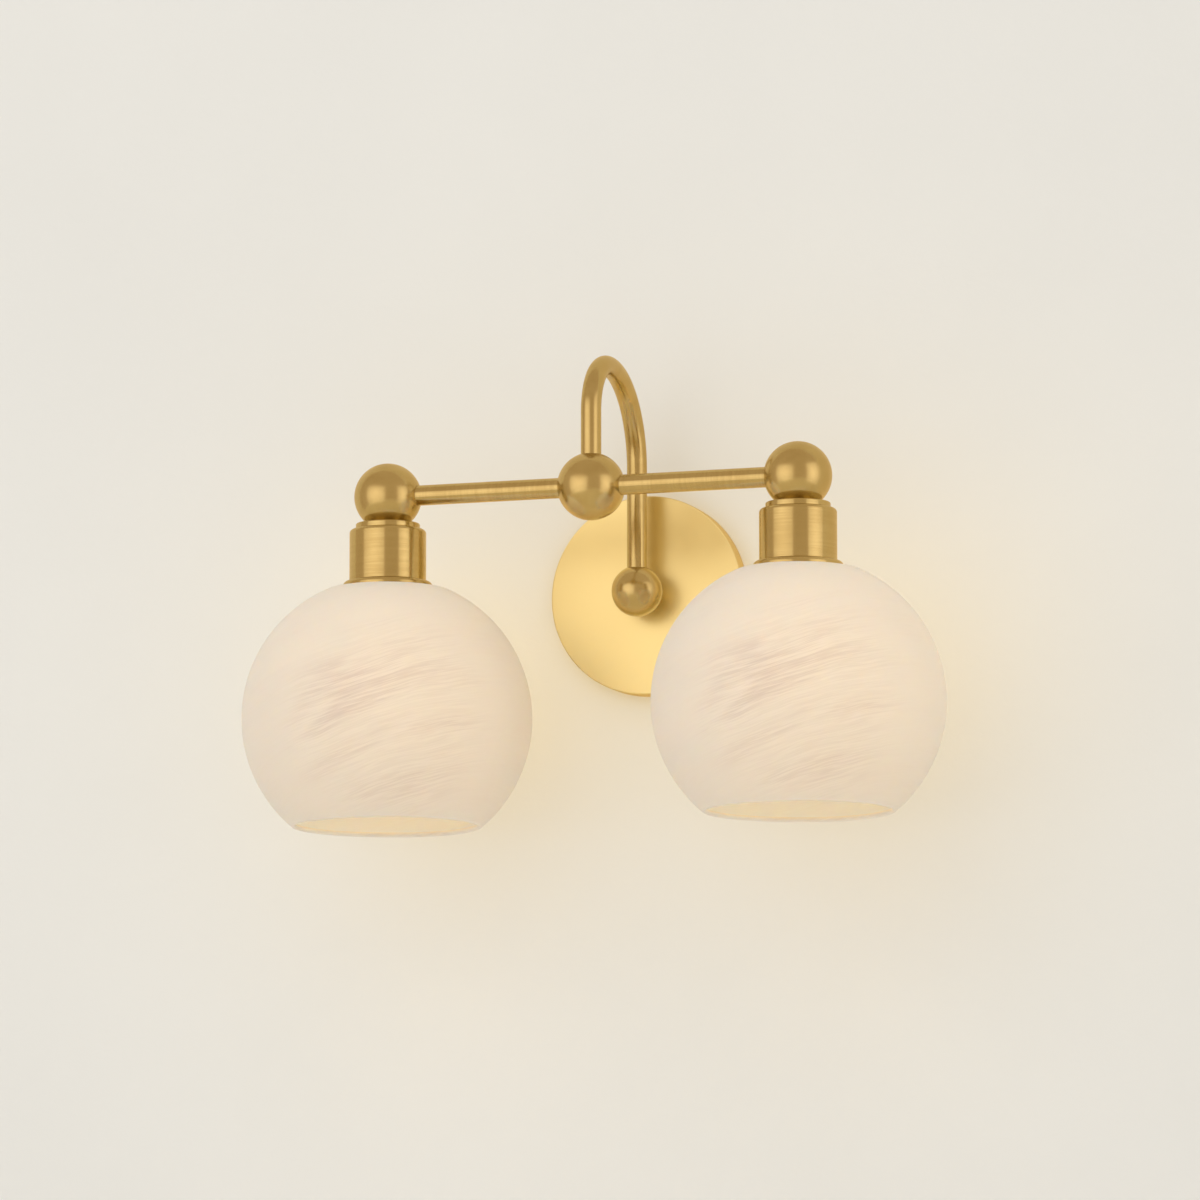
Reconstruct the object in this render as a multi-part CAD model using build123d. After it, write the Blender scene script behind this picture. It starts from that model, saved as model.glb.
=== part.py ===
from build123d import *
import os
from math import asin, cos, sin, sqrt

# Vanity light with two glass shades on a hooked arm.
# Millimetres. Z is up, the wall is the plane Y = 0, the front faces -Y,
# and the origin is on the wall at the centre of the backplate.

# Wall box screws
BOX_SPACING_MIN = 69.85        # closest pair, 2 3/4 in
BOX_SPACING_MAX = 88.9         # widest pair, 3 1/2 in
BOX_SCREW_DIA = 4.2
SLOT_CLEARANCE = 0.3           # each side of a box screw

# Backplate
PLATE_COVER = 13.15            # from the end of a slot to the backplate's edge
PLATE_DEPTH = 12.0
PLATE_WALL = 1.2
PLATE_EDGE = 0.8               # rounding of the front edge

# Mounting strap
STRAP_THICK = 2.0
STRAP_WIDTH = 22.0
STRAP_SHOULDER = 5.0           # full width beyond a slot
STRAP_HUB_DIA = 32.0           # rounded part about the wire hole
WIRE_HOLE_DIA = 18.0
EAR_WIDTH = 13.0
EAR_THICK = 1.8
EAR_END_ROOM = 1.8             # ear to the inside of the backplate's face
EAR_RIM_ROOM = 0.3             # ear to the inside of the backplate's rim

# Set screws of the backplate
SET_SCREW_DIA = 4.0
SET_SCREW_LENGTH = 7.0
SET_SCREW_INSET = 0.2          # outer end inside the face of the backplate's rim
HOLE_CLEARANCE = 0.2           # radial, where a screw or nipple passes through
DRIVE_SLOT_WIDTH = 0.9
DRIVE_SLOT_DEPTH = 0.7

# Ground screw and lead
GROUND_SCREW_DIA = 4.0
GROUND_HEAD_DIA = 8.0
GROUND_HEAD_HEIGHT = 2.2
GROUND_LEAD_DIA = 1.6
GROUND_LEAD_BEND = 1.6
GROUND_LEAD_INSET = 3.0        # from the edge of the wire hole
WALL_END_ROOM = 0.3            # free ends stop this far in front of the wall

# Arm
TUBE_DIA = 12.0
TUBE_WALL = 1.5
TAP_WALL = 1.0                 # tube wall left around a tapped end
TUBE_GRIP = 8.0                # nipple length inside a tube
HUB_REACH = 115.0              # wall to crossbar
HUB_RISE = 50.3                # backplate centre to crossbar
NECK_FRONT_LEG = 26.0          # straight length above the hub ball
NECK_FRONT_RADIUS = 32.0       # front bend of the gooseneck
LAMP_SPACING = 254.0
KNUCKLE_DIA = 30.5
BALL_DIA = 40.0
SEAT_REVEAL = 0.4              # flat on a ball, wider than the tube that stands on it
ARM_COLLAR_DIA = 17.0
ARM_COLLAR_HEIGHT = 3.3

# Threaded nipples and their nuts
THREAD_CLEARANCE = 0.05        # radial, between a screw or nipple and its tapped hole
NIPPLE_WALL = 1.3
NIPPLE_GAP = 0.6               # between nipples that meet in a ball
NIPPLE_TAIL = 1.5              # beyond the lock nut
DRILL_POINT = 0.5              # tapped hole deeper than its nipple
NUT_WALL = 2.0
NUT_THICK = 3.5
WASHER_DIA = 18.0
WASHER_THICK = 1.0
BUSHING_WALL = 1.2
BUSHING_CAP = 0.8

# Leads
LEAD_DIA = 1.6
LEAD_GAP = 0.35
TERMINAL_DEPTH = 4.0           # lead end inside the lampholder
TERMINAL_ROOM = 0.8            # radial, pocket around both leads

# Collar, cup and shade seat
COLLAR_DIA = 38.0
COLLAR_HEIGHT = 3.5
COLLAR_SINK = 0.4              # cup top above the foot of a whole ball
COLLAR_BORE = 16.0
COLLAR_EDGE = 0.8
BALL_SEAT_CLEARANCE = 0.1
CUP_HEIGHT = 31.2
CUP_WALL = 1.2
CUP_TOP_WALL = 1.5
CUP_EDGE = 2.4
CUP_FOOT_CHAMFER = 0.3
CUP_ROOM = 1.8                 # lampholder to the inside of the cup
SEAT_LIP = 3.75                # shade seat wider than the cup
SEAT_HEIGHT = 4.4
SEAT_EDGE = 2.6
SPIGOT_HEIGHT = 3.0
FIT_CLEARANCE = 0.05           # radial, pieces pressed together
RUN_CLEARANCE = 0.1            # radial, pieces that turn or slide on each other

# Lampholder for a 26 mm screw cap
CAP_DIA = 26.4
SHELL_CLEARANCE = 0.15
SHELL_WALL = 0.5
SHELL_EYE_DIA = 14.0           # hole in the closed end of the shell
SHELL_RECESS = 2.0             # shell end inside the mouth
HOLDER_WALL = 5.8
HOLDER_STEP = 2.35             # upper body slimmer than the threaded skirt
HOLDER_HEIGHT = 35.6
HOLDER_BORE_DEPTH = 27.6
HOLDER_SKIRT = 21.5
HOLDER_LIP = 4.0               # thread that shows below the shade ring
THREAD_PITCH = 2.0
THREAD_DEPTH = 0.5
THREAD_LENGTH = 18.0
BRACKET_THICK = 1.5
BRACKET_WIDTH = 12.0
BRACKET_BOSS_HEIGHT = 3.0
BRACKET_BOSS_WALL = 2.0
HOLDER_SCREW_DIA = 3.0
HOLDER_SCREW_DROP = 4.0        # below the top of the lampholder
HOLDER_SCREW_LENGTH = 6.0
HOLDER_HEAD_DIA = 5.2
HOLDER_HEAD_HEIGHT = 1.4
CONTACT_WIDTH = 5.0
CONTACT_THICK = 0.5
CONTACT_DROP = 3.1
CONTACT_REACH = 4.5            # to each side of the axis
CONTACT_FOOT = 2.5             # flat length at each end
CONTACT_GAP = 0.3              # contact spring to bulb

# Glass shade, a globe cut flat at the top and open at the bottom
SHADE_DIA = 171.5
SHADE_HALF_HEIGHT = 83.75      # of the whole globe, and the radius of its round side
SHADE_FLAT_DIA = 68.5          # where flat and side would meet without the shoulder
SHADE_MOUTH_DIA = 110.0
SHADE_WALL = 3.2
SHADE_SHOULDER = 14.0          # rounding from the flat into the globe
SHADE_RIM_EDGE = 1.1
SHADE_HOLE_ROOM = 1.25         # radial, lampholder to the hole in the glass

# Gasket and shade ring
GASKET_THICK = 1.5
GASKET_WIDTH = 4.6
GASKET_ROOM = 0.45
RING_HEIGHT = 6.0
RING_WALL = 5.2
RING_NOTCHES = 12
RING_NOTCH_DIA = 4.0

# Bulb
CAP_LENGTH = 20.4
CAP_PITCH = 3.63
CAP_TURNS = 4
CAP_THREAD_DEPTH = 0.8
CAP_WALL = 0.3
FOOT_DIA = 9.2
FOOT_HEIGHT = 1.6
INSULATOR_HEIGHT = 4.0
INSULATOR_TIP_DIA = 10.8
INSULATOR_PLUG = 1.5
BULB_DIA = 48.0
BULB_LENGTH = 88.0
BULB_SHOULDER = 30.0           # hollow curve between neck and bulb
BULB_WALL = 1.0
BULB_TUCK = 3.0                # neck inside the cap
STEM_FLARE = 1.5
STEM_DIA = 5.2
STEM_LENGTH = 42.0
STEM_BUTTON_DIA = 11.0
STEM_BUTTON_HEIGHT = 1.5
FILAMENT_DIA = 1.5
FILAMENT_COUNT = 4
FILAMENT_CIRCLE_DIA = 8.4

# Worked out from the sizes above: threads and nipples
TUBE_R = TUBE_DIA / 2
TAP_R = TUBE_R - TAP_WALL
NIPPLE_R = TAP_R - THREAD_CLEARANCE
BORE_R = NIPPLE_R - NIPPLE_WALL
NIPPLE_INSET = NIPPLE_R + NIPPLE_GAP
NIPPLE_HOLE_R = NIPPLE_R + HOLE_CLEARANCE
NUT_FLATS = 2 * (TAP_R + NUT_WALL)
SEAT_R = TUBE_R + SEAT_REVEAL

# Worked out: wall side
SLOT_WIDTH = BOX_SCREW_DIA + 2 * SLOT_CLEARANCE
SLOT_CENTRE = (BOX_SPACING_MIN + BOX_SPACING_MAX) / 4
SLOT_LENGTH = (BOX_SPACING_MAX - BOX_SPACING_MIN) / 2 + SLOT_WIDTH
PLATE_R = BOX_SPACING_MAX / 2 + SLOT_WIDTH / 2 + PLATE_COVER
PLATE_INNER_R = PLATE_R - PLATE_WALL
PLATE_CEILING = PLATE_DEPTH - PLATE_WALL
EAR_DEPTH = PLATE_CEILING - EAR_END_ROOM
EAR_X = sqrt(PLATE_INNER_R**2 - (EAR_WIDTH / 2) ** 2) - EAR_RIM_ROOM
SET_SCREW_Y = (STRAP_THICK + EAR_DEPTH) / 2
GROUND_X = -(WIRE_HOLE_DIA / 2 + SLOT_CENTRE - SLOT_LENGTH / 2) / 2
NUT_BACK = PLATE_CEILING - WASHER_THICK - NUT_THICK

# Worked out: arm
BALL_R = BALL_DIA / 2
LAMP_X = LAMP_SPACING / 2
BALL_SEAT = sqrt(BALL_R**2 - SEAT_R**2)
KNUCKLE_SEAT = sqrt((KNUCKLE_DIA / 2) ** 2 - SEAT_R**2)
ARM_OFFSET = PLATE_DEPTH + ARM_COLLAR_HEIGHT + KNUCKLE_SEAT
NECK_FOOT = HUB_RISE + BALL_SEAT
NECK_TOP = NECK_FOOT + NECK_FRONT_LEG + NECK_FRONT_RADIUS
NECK_BACK_RADIUS = HUB_REACH - ARM_OFFSET - NECK_FRONT_RADIUS

# Worked out: heights under an end ball, measured from the ball's centre
CUP_TOP = COLLAR_SINK - BALL_R
CUP_CEILING = CUP_TOP - CUP_TOP_WALL
CUP_FOOT = CUP_TOP - CUP_HEIGHT
GLASS_TOP = CUP_FOOT - SEAT_HEIGHT
GLASS_CEILING = GLASS_TOP - SHADE_WALL
RING_TOP = GLASS_CEILING - GASKET_THICK
RING_FOOT = RING_TOP - RING_HEIGHT
HOLDER_MOUTH = RING_FOOT - HOLDER_LIP
HOLDER_TOP = HOLDER_MOUTH + HOLDER_HEIGHT
SHELL_TOP = HOLDER_MOUTH + HOLDER_BORE_DEPTH
HOLDER_SCREW_Z = HOLDER_TOP - HOLDER_SCREW_DROP
BRACKET_TOP = CUP_CEILING - NUT_THICK
BRACKET_FOOT = HOLDER_SCREW_Z - HOLDER_HEAD_DIA
BOSS_FOOT = BRACKET_TOP - BRACKET_THICK - BRACKET_BOSS_HEIGHT
BULB_TIP = SHELL_TOP - CONTACT_DROP - CONTACT_GAP
CAP_TOP = BULB_TIP - FOOT_HEIGHT - INSULATOR_HEIGHT
CAP_RIM = CAP_TOP - CAP_LENGTH

# Worked out: radii under an end ball
SHELL_R = CAP_DIA / 2 + SHELL_CLEARANCE + SHELL_WALL
HOLDER_BORE_R = SHELL_R + FIT_CLEARANCE
HOLDER_R = HOLDER_BORE_R + HOLDER_WALL
HOLDER_BODY_R = HOLDER_R - HOLDER_STEP
CUP_INNER_R = HOLDER_R + CUP_ROOM
CUP_R = CUP_INNER_R + CUP_WALL
SHADE_HOLE_R = HOLDER_R + SHADE_HOLE_ROOM
RING_BORE_R = HOLDER_R + RUN_CLEARANCE
RING_R = RING_BORE_R + RING_WALL
CAP_ROOT_R = CAP_DIA / 2 - CAP_THREAD_DEPTH
CAP_INNER_R = CAP_ROOT_R - CAP_WALL
NECK_R = CAP_INNER_R - FIT_CLEARANCE

# Worked out: shade and leads
SHADE_R = SHADE_DIA / 2
SIDE_CENTRE_R = SHADE_R - SHADE_HALF_HEIGHT
SHADE_RISE = sqrt(SHADE_HALF_HEIGHT**2 - (SHADE_FLAT_DIA / 2 - SIDE_CENTRE_R) ** 2)
SHADE_DROP = sqrt(SHADE_HALF_HEIGHT**2 - (SHADE_MOUTH_DIA / 2 - SIDE_CENTRE_R) ** 2)
EQUATOR = GLASS_TOP - SHADE_RISE
LEAD_OFFSET = (LEAD_DIA + LEAD_GAP) / 2
TERMINAL_R = LEAD_OFFSET * sqrt(2) + LEAD_DIA / 2 + TERMINAL_ROOM

UP = (0, 0, 1)
DOWN = (0, 0, -1)
LEFT = (-1, 0, 0)
RIGHT = (1, 0, 0)
BACK = (0, 1, 0)
FRONT = (0, -1, 0)
BASE = (Align.CENTER, Align.CENTER, Align.MIN)
SIDES = {"left": -1, "right": 1}
KNUCKLE = (0, -ARM_OFFSET, 0)
HUB = (0, -HUB_REACH, HUB_RISE)


# Helpers

def rod(radius, low, high):
    """Round bar along Z between two heights."""
    return Pos(0, 0, low) * Cylinder(radius, high - low, align=BASE)


def pipe(outer, inner, low, high):
    """Hollow round bar along Z between two heights."""
    return rod(outer, low, high) - rod(inner, low, high)


def facing(point, direction):
    """Plane at a point, with its Z along the direction."""
    return Plane(origin=point, z_dir=direction)


def turned(outline):
    """Solid of revolution from closed lines in (radius, height)."""
    return revolve(Plane.XZ * make_face(outline), Axis.Z)


def end_ball_centre(side):
    """Centre of the end ball on one side."""
    return (SIDES[side] * LAMP_X, -HUB_REACH, HUB_RISE)


def drive_slot(head_dia, head_top):
    """Cutter for the straight slot in a screw head that faces +Z."""
    return Pos(0, 0, head_top) * Box(head_dia, DRIVE_SLOT_WIDTH, 2 * DRIVE_SLOT_DEPTH)


def hex_nut(low):
    """Hexagon nut with a tapped hole, standing on a height."""
    blank = extrude(RegularPolygon(NUT_FLATS / 2, 6, major_radius=False), NUT_THICK)
    return Pos(0, 0, low) * (blank - rod(TAP_R, 0, NUT_THICK))


# Wall side

def backplate():
    """Shallow round pan, open to the wall, with holes for arm and set screws."""
    pan = rod(PLATE_R, 0, PLATE_DEPTH)
    pan = fillet(pan.edges().group_by(Axis.Z)[-1], PLATE_EDGE)
    pan -= rod(PLATE_INNER_R, 0, PLATE_CEILING)
    pan -= rod(NIPPLE_HOLE_R, 0, PLATE_DEPTH)
    pan = facing((0, 0, 0), FRONT) * pan
    screw_hole = Cylinder(SET_SCREW_DIA / 2 + HOLE_CLEARANCE, 2 * PLATE_R + PLATE_WALL)
    return pan - facing((0, -SET_SCREW_Y, 0), RIGHT) * screw_hole


def mounting_strap():
    """Flat bar against the wall, with box-screw slots and two bent tapped ears."""
    wide = 2 * (SLOT_CENTRE + STRAP_SHOULDER) + SLOT_LENGTH
    flat = Rectangle(2 * EAR_X, EAR_WIDTH) + Rectangle(wide, STRAP_WIDTH) + Circle(STRAP_HUB_DIA / 2)
    flat -= Circle(WIRE_HOLE_DIA / 2)
    for side in SIDES.values():
        flat -= Pos(side * SLOT_CENTRE, 0) * SlotOverall(SLOT_LENGTH, SLOT_WIDTH)
    flat -= Pos(GROUND_X, 0) * Circle(GROUND_SCREW_DIA / 2 + THREAD_CLEARANCE)
    bar = extrude(flat, STRAP_THICK)
    for side in SIDES.values():
        ear_x = side * (EAR_X - EAR_THICK / 2)
        bar += Pos(ear_x, 0, 0) * Box(EAR_THICK, EAR_WIDTH, EAR_DEPTH, align=BASE)
    bar = Plane(origin=(0, 0, 0), x_dir=RIGHT, z_dir=FRONT) * bar
    tapped = Cylinder(SET_SCREW_DIA / 2 + THREAD_CLEARANCE, 2 * PLATE_R)
    return bar - facing((0, -SET_SCREW_Y, 0), RIGHT) * tapped


def set_screws():
    """The two headless screws, backed out of the strap's ears into the holes of the backplate's rim."""
    screw = rod(SET_SCREW_DIA / 2, -SET_SCREW_LENGTH, 0) - drive_slot(SET_SCREW_DIA, 0)
    places = [(side * (PLATE_R - SET_SCREW_INSET), -SET_SCREW_Y, 0) for side in SIDES.values()]
    pair = [facing(place, (place[0], 0, 0)) * screw for place in places]
    return Compound(children=pair)


def ground_screw():
    """Hexagon-headed screw that clamps the ground lead to the strap."""
    head_low = STRAP_THICK + GROUND_LEAD_DIA
    head = extrude(RegularPolygon(GROUND_HEAD_DIA / 2, 6), GROUND_HEAD_HEIGHT)
    screw = Pos(0, 0, head_low) * head + rod(GROUND_SCREW_DIA / 2, WALL_END_ROOM, head_low)
    screw -= drive_slot(GROUND_HEAD_DIA, head_low + GROUND_HEAD_HEIGHT)
    return facing((GROUND_X, 0, 0), FRONT) * screw


def ground_lead():
    """Bare wire from under the ground screw to the wire hole and the wall."""
    lead_y = -(STRAP_THICK + GROUND_LEAD_DIA / 2)
    lead_z = (GROUND_SCREW_DIA + GROUND_LEAD_DIA) / 2 + THREAD_CLEARANCE
    turn_x = GROUND_LEAD_INSET - WIRE_HOLE_DIA / 2
    start = (GROUND_X - GROUND_HEAD_DIA / 2, lead_y, lead_z)
    corner = (turn_x, lead_y, lead_z)
    end = (turn_x, -WALL_END_ROOM, lead_z)
    route = FilletPolyline(start, corner, end, radius=GROUND_LEAD_BEND)
    return sweep(facing(start, RIGHT) * Circle(GROUND_LEAD_DIA / 2), path=route)


def arm_nipple():
    """Hollow threaded nipple from the knuckle ball through the backplate."""
    tail = NUT_BACK - NIPPLE_TAIL
    return facing((0, 0, 0), FRONT) * pipe(NIPPLE_R, BORE_R, tail, ARM_OFFSET - NIPPLE_INSET)


def arm_collar():
    """Ring between the backplate and the knuckle ball."""
    ring = pipe(ARM_COLLAR_DIA / 2, NIPPLE_HOLE_R, PLATE_DEPTH, PLATE_DEPTH + ARM_COLLAR_HEIGHT)
    return facing((0, 0, 0), FRONT) * ring


def arm_washer():
    """Washer under the lock nut, inside the backplate."""
    ring = pipe(WASHER_DIA / 2, NIPPLE_HOLE_R, PLATE_CEILING - WASHER_THICK, PLATE_CEILING)
    return facing((0, 0, 0), FRONT) * ring


def arm_nut():
    """Nut that clamps the arm to the backplate."""
    return facing((0, 0, 0), FRONT) * hex_nut(NUT_BACK)


def wire_bushing():
    """Plastic cap over the nipple's raw end, where the leads come out."""
    tail = NUT_BACK - NIPPLE_TAIL
    sleeve_r = NIPPLE_R + FIT_CLEARANCE
    bushing = pipe(sleeve_r + BUSHING_WALL, sleeve_r, tail, NUT_BACK)
    bushing += pipe(sleeve_r + BUSHING_WALL, BORE_R, tail - BUSHING_CAP, tail)
    return facing((0, 0, 0), FRONT) * bushing


# Arm

def drilled_ball(diameter, seat, directions):
    """Ball with a flat, a tapped hole and a wire passage in each direction."""
    body = Sphere(diameter / 2) - Sphere(BORE_R)
    for direction in directions:
        port = rod(diameter / 2, seat, diameter)
        port += rod(TAP_R, NIPPLE_INSET - DRILL_POINT, diameter)
        port += rod(BORE_R, 0, diameter)
        body -= facing((0, 0, 0), direction) * port
    return body


def tapped_end(point, direction):
    """Cutter for the tapped end of a tube."""
    return facing(point, direction) * rod(TAP_R, 0, TUBE_GRIP + DRILL_POINT)


def gooseneck_tube():
    """Hooked tube from the knuckle ball up, forward and down to the hub ball."""
    back_foot = (0, -ARM_OFFSET, KNUCKLE_SEAT)
    back_bend = (0, -ARM_OFFSET, NECK_TOP - NECK_BACK_RADIUS)
    crown = (0, -ARM_OFFSET - NECK_BACK_RADIUS, NECK_TOP)
    front_bend = (0, -HUB_REACH, NECK_TOP - NECK_FRONT_RADIUS)
    front_foot = (0, -HUB_REACH, NECK_FOOT)
    route = Wire([
        Line(back_foot, back_bend),
        TangentArc(back_bend, crown, tangent=UP),
        TangentArc(crown, front_bend, tangent=FRONT),
        Line(front_bend, front_foot),
    ])
    start = facing(back_foot, UP)
    tube = sweep(start * Circle(TUBE_R), path=route)
    tube -= sweep(start * Circle(TUBE_R - TUBE_WALL), path=route)
    return tube - tapped_end(back_foot, UP) - tapped_end(front_foot, UP)


def crossbar(side):
    """Straight tube from the hub ball to an end ball."""
    outward = (SIDES[side], 0, 0)
    inward = (-SIDES[side], 0, 0)
    near = (SIDES[side] * BALL_SEAT, -HUB_REACH, HUB_RISE)
    far = (SIDES[side] * (LAMP_X - BALL_SEAT), -HUB_REACH, HUB_RISE)
    tube = facing(near, outward) * pipe(TUBE_R, TUBE_R - TUBE_WALL, 0, LAMP_X - 2 * BALL_SEAT)
    return tube - tapped_end(near, outward) - tapped_end(far, inward)


def tube_nipples():
    """Hollow nipples that join the tubes to the balls."""
    left, right = end_ball_centre("left"), end_ball_centre("right")
    joins = [(KNUCKLE, UP, KNUCKLE_SEAT), (HUB, UP, BALL_SEAT), (HUB, LEFT, BALL_SEAT),
             (HUB, RIGHT, BALL_SEAT), (left, RIGHT, BALL_SEAT), (right, LEFT, BALL_SEAT)]
    nipples = [facing(centre, direction) * pipe(NIPPLE_R, BORE_R, NIPPLE_INSET, seat + TUBE_GRIP)
               for centre, direction, seat in joins]
    return Compound(children=nipples)


# Under an end ball, with the origin at the ball's centre

def cup_nipple():
    """Hollow nipple from the end ball down to the holder bracket."""
    return pipe(NIPPLE_R, BORE_R, BOSS_FOOT, -NIPPLE_INSET)


def cup_collar():
    """Dished ring that the end ball sits in."""
    ring = rod(COLLAR_DIA / 2, CUP_TOP, CUP_TOP + COLLAR_HEIGHT)
    ring = fillet(ring.edges().group_by(Axis.Z)[-1], COLLAR_EDGE)
    return ring - Sphere(BALL_R + BALL_SEAT_CLEARANCE) - rod(COLLAR_BORE / 2, CUP_TOP, 0)


def socket_cup():
    """Turned cup that hides the lampholder, open at the bottom."""
    cup = rod(CUP_R, CUP_FOOT, CUP_TOP)
    cup = fillet(cup.edges().group_by(Axis.Z)[-1], CUP_EDGE)
    cup = chamfer(cup.edges().group_by(Axis.Z)[0], CUP_FOOT_CHAMFER)
    return cup - rod(CUP_INNER_R, CUP_FOOT, CUP_CEILING) - rod(NIPPLE_HOLE_R, CUP_FOOT, CUP_TOP)


def shade_seat():
    """Wider ring under the cup that the glass is drawn up against."""
    ring = rod(CUP_R + SEAT_LIP, GLASS_TOP, CUP_FOOT)
    ring = fillet(ring.edges().group_by(Axis.Z)[-1], SEAT_EDGE)
    ring += rod(CUP_INNER_R - FIT_CLEARANCE, CUP_FOOT, CUP_FOOT + SPIGOT_HEIGHT)
    return ring - rod(HOLDER_R + HOLE_CLEARANCE, GLASS_TOP, CUP_FOOT + SPIGOT_HEIGHT)


def cup_nut():
    """Nut that clamps cup and collar to the end ball."""
    return hex_nut(BRACKET_TOP)


def holder_bracket():
    """Bent steel yoke that hangs the lampholder from the nipple."""
    leg_x = HOLDER_BODY_R + RUN_CLEARANCE
    half = leg_x + BRACKET_THICK
    yoke = Pos(0, 0, BRACKET_FOOT) * Box(2 * half, BRACKET_WIDTH, BRACKET_TOP - BRACKET_FOOT, align=BASE)
    room = BRACKET_TOP - BRACKET_THICK - BRACKET_FOOT
    yoke -= Pos(0, 0, BRACKET_FOOT) * Box(2 * leg_x, BRACKET_WIDTH, room, align=BASE)
    yoke += rod(TAP_R + BRACKET_BOSS_WALL, BOSS_FOOT, BRACKET_TOP)
    yoke -= rod(TAP_R, BOSS_FOOT, BRACKET_TOP)
    hole = Cylinder(HOLDER_SCREW_DIA / 2 + HOLE_CLEARANCE, 2 * half + BRACKET_THICK)
    return yoke - facing((0, 0, HOLDER_SCREW_Z), RIGHT) * hole


def holder_screw(sign):
    """Screw through a bracket leg into the lampholder."""
    seat_x = HOLDER_BODY_R + RUN_CLEARANCE + BRACKET_THICK
    screw = rod(HOLDER_SCREW_DIA / 2, -HOLDER_SCREW_LENGTH, 0)
    screw += rod(HOLDER_HEAD_DIA / 2, 0, HOLDER_HEAD_HEIGHT)
    screw -= drive_slot(HOLDER_HEAD_DIA, HOLDER_HEAD_HEIGHT)
    return facing((sign * seat_x, 0, HOLDER_SCREW_Z), (sign, 0, 0)) * screw


def lampholder_body():
    """Porcelain body: bored from below, threaded outside, pocketed for the leads."""
    outline = [(0, HOLDER_TOP), (HOLDER_BODY_R, HOLDER_TOP)]
    outline += [(HOLDER_BODY_R, HOLDER_MOUTH + HOLDER_SKIRT), (HOLDER_R, HOLDER_MOUTH + HOLDER_SKIRT)]
    for turn in range(int(THREAD_LENGTH / THREAD_PITCH)):
        crest = HOLDER_MOUTH + THREAD_LENGTH - turn * THREAD_PITCH
        outline += [(HOLDER_R, crest), (HOLDER_R - THREAD_DEPTH, crest - THREAD_PITCH / 2)]
    outline += [(HOLDER_R, HOLDER_MOUTH), (0, HOLDER_MOUTH)]
    body = turned(Polyline(*outline, close=True))
    body -= rod(HOLDER_BORE_R, HOLDER_MOUTH, SHELL_TOP)
    body -= rod(TERMINAL_R, HOLDER_TOP - TERMINAL_DEPTH, HOLDER_TOP)
    for sign in SIDES.values():
        depth = HOLDER_SCREW_LENGTH + DRILL_POINT
        hole = rod(HOLDER_SCREW_DIA / 2 + THREAD_CLEARANCE, -depth, HOLDER_BODY_R)
        seat_x = HOLDER_BODY_R + RUN_CLEARANCE + BRACKET_THICK
        body -= facing((sign * seat_x, 0, HOLDER_SCREW_Z), (sign, 0, 0)) * hole
    return body


def screw_shell():
    """Metal liner of the lampholder that takes the bulb's cap."""
    shell = rod(SHELL_R, HOLDER_MOUTH + SHELL_RECESS, SHELL_TOP)
    shell -= rod(SHELL_R - SHELL_WALL, HOLDER_MOUTH, SHELL_TOP - SHELL_WALL)
    return shell - rod(SHELL_EYE_DIA / 2, HOLDER_MOUTH, SHELL_TOP)


def centre_contact():
    """Sprung strip in the shell's eye that meets the bulb's foot."""
    low = CONTACT_THICK - CONTACT_DROP
    upper = [(-CONTACT_REACH, 0), (CONTACT_FOOT - CONTACT_REACH, 0)]
    upper += [(CONTACT_REACH - 2 * CONTACT_FOOT, low), (CONTACT_REACH, low)]
    lower = [(x, z - CONTACT_THICK) for x, z in reversed(upper)]
    strip = extrude(Plane.XZ * make_face(Polyline(*upper, *lower, close=True)), CONTACT_WIDTH / 2, both=True)
    return Pos(0, 0, SHELL_TOP) * strip


def on_side(distance, angle):
    """Point of the shade's section, from the centre of its round side."""
    return (SIDE_CENTRE_R + distance * cos(angle), EQUATOR + distance * sin(angle))


def glass_shade():
    """Globe of opal glass with a flat holed top, a rounded shoulder and an open mouth."""
    outer = SHADE_HALF_HEIGHT
    inner = SHADE_HALF_HEIGHT - SHADE_WALL
    shoulder = asin((SHADE_RISE - SHADE_SHOULDER) / (outer - SHADE_SHOULDER))
    flat_r = on_side(outer - SHADE_SHOULDER, shoulder)[0]
    top_end = (flat_r, GLASS_TOP)
    ceiling_end = (flat_r, GLASS_CEILING)
    rim = -asin(SHADE_DROP / outer)
    outer_round = outer - SHADE_RIM_EDGE
    inner_round = inner + SHADE_RIM_EDGE
    outer_end = rim + asin(SHADE_RIM_EDGE / outer_round)
    inner_end = rim + asin(SHADE_RIM_EDGE / inner_round)
    outer_lip = on_side(outer_round * cos(outer_end - rim), rim)
    inner_lip = on_side(inner_round * cos(inner_end - rim), rim)
    return turned([
        Line((SHADE_HOLE_R, GLASS_TOP), top_end),
        TangentArc(top_end, on_side(outer, shoulder), tangent=(1, 0)),
        ThreePointArc(on_side(outer, shoulder), on_side(outer, 0), on_side(outer, outer_end)),
        TangentArc(on_side(outer, outer_end), outer_lip, tangent=(sin(outer_end), -cos(outer_end))),
        Line(outer_lip, inner_lip),
        TangentArc(inner_lip, on_side(inner, inner_end), tangent=(-cos(rim), -sin(rim))),
        ThreePointArc(on_side(inner, inner_end), on_side(inner, 0), on_side(inner, shoulder)),
        TangentArc(on_side(inner, shoulder), ceiling_end, tangent=(-sin(shoulder), cos(shoulder))),
        Polyline(ceiling_end, (SHADE_HOLE_R, GLASS_CEILING), (SHADE_HOLE_R, GLASS_TOP)),
    ])


def shade_gasket():
    """Soft ring between the glass and the shade ring."""
    bore = HOLDER_R + GASKET_ROOM
    return pipe(bore + GASKET_WIDTH, bore, RING_TOP, GLASS_CEILING)


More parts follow.
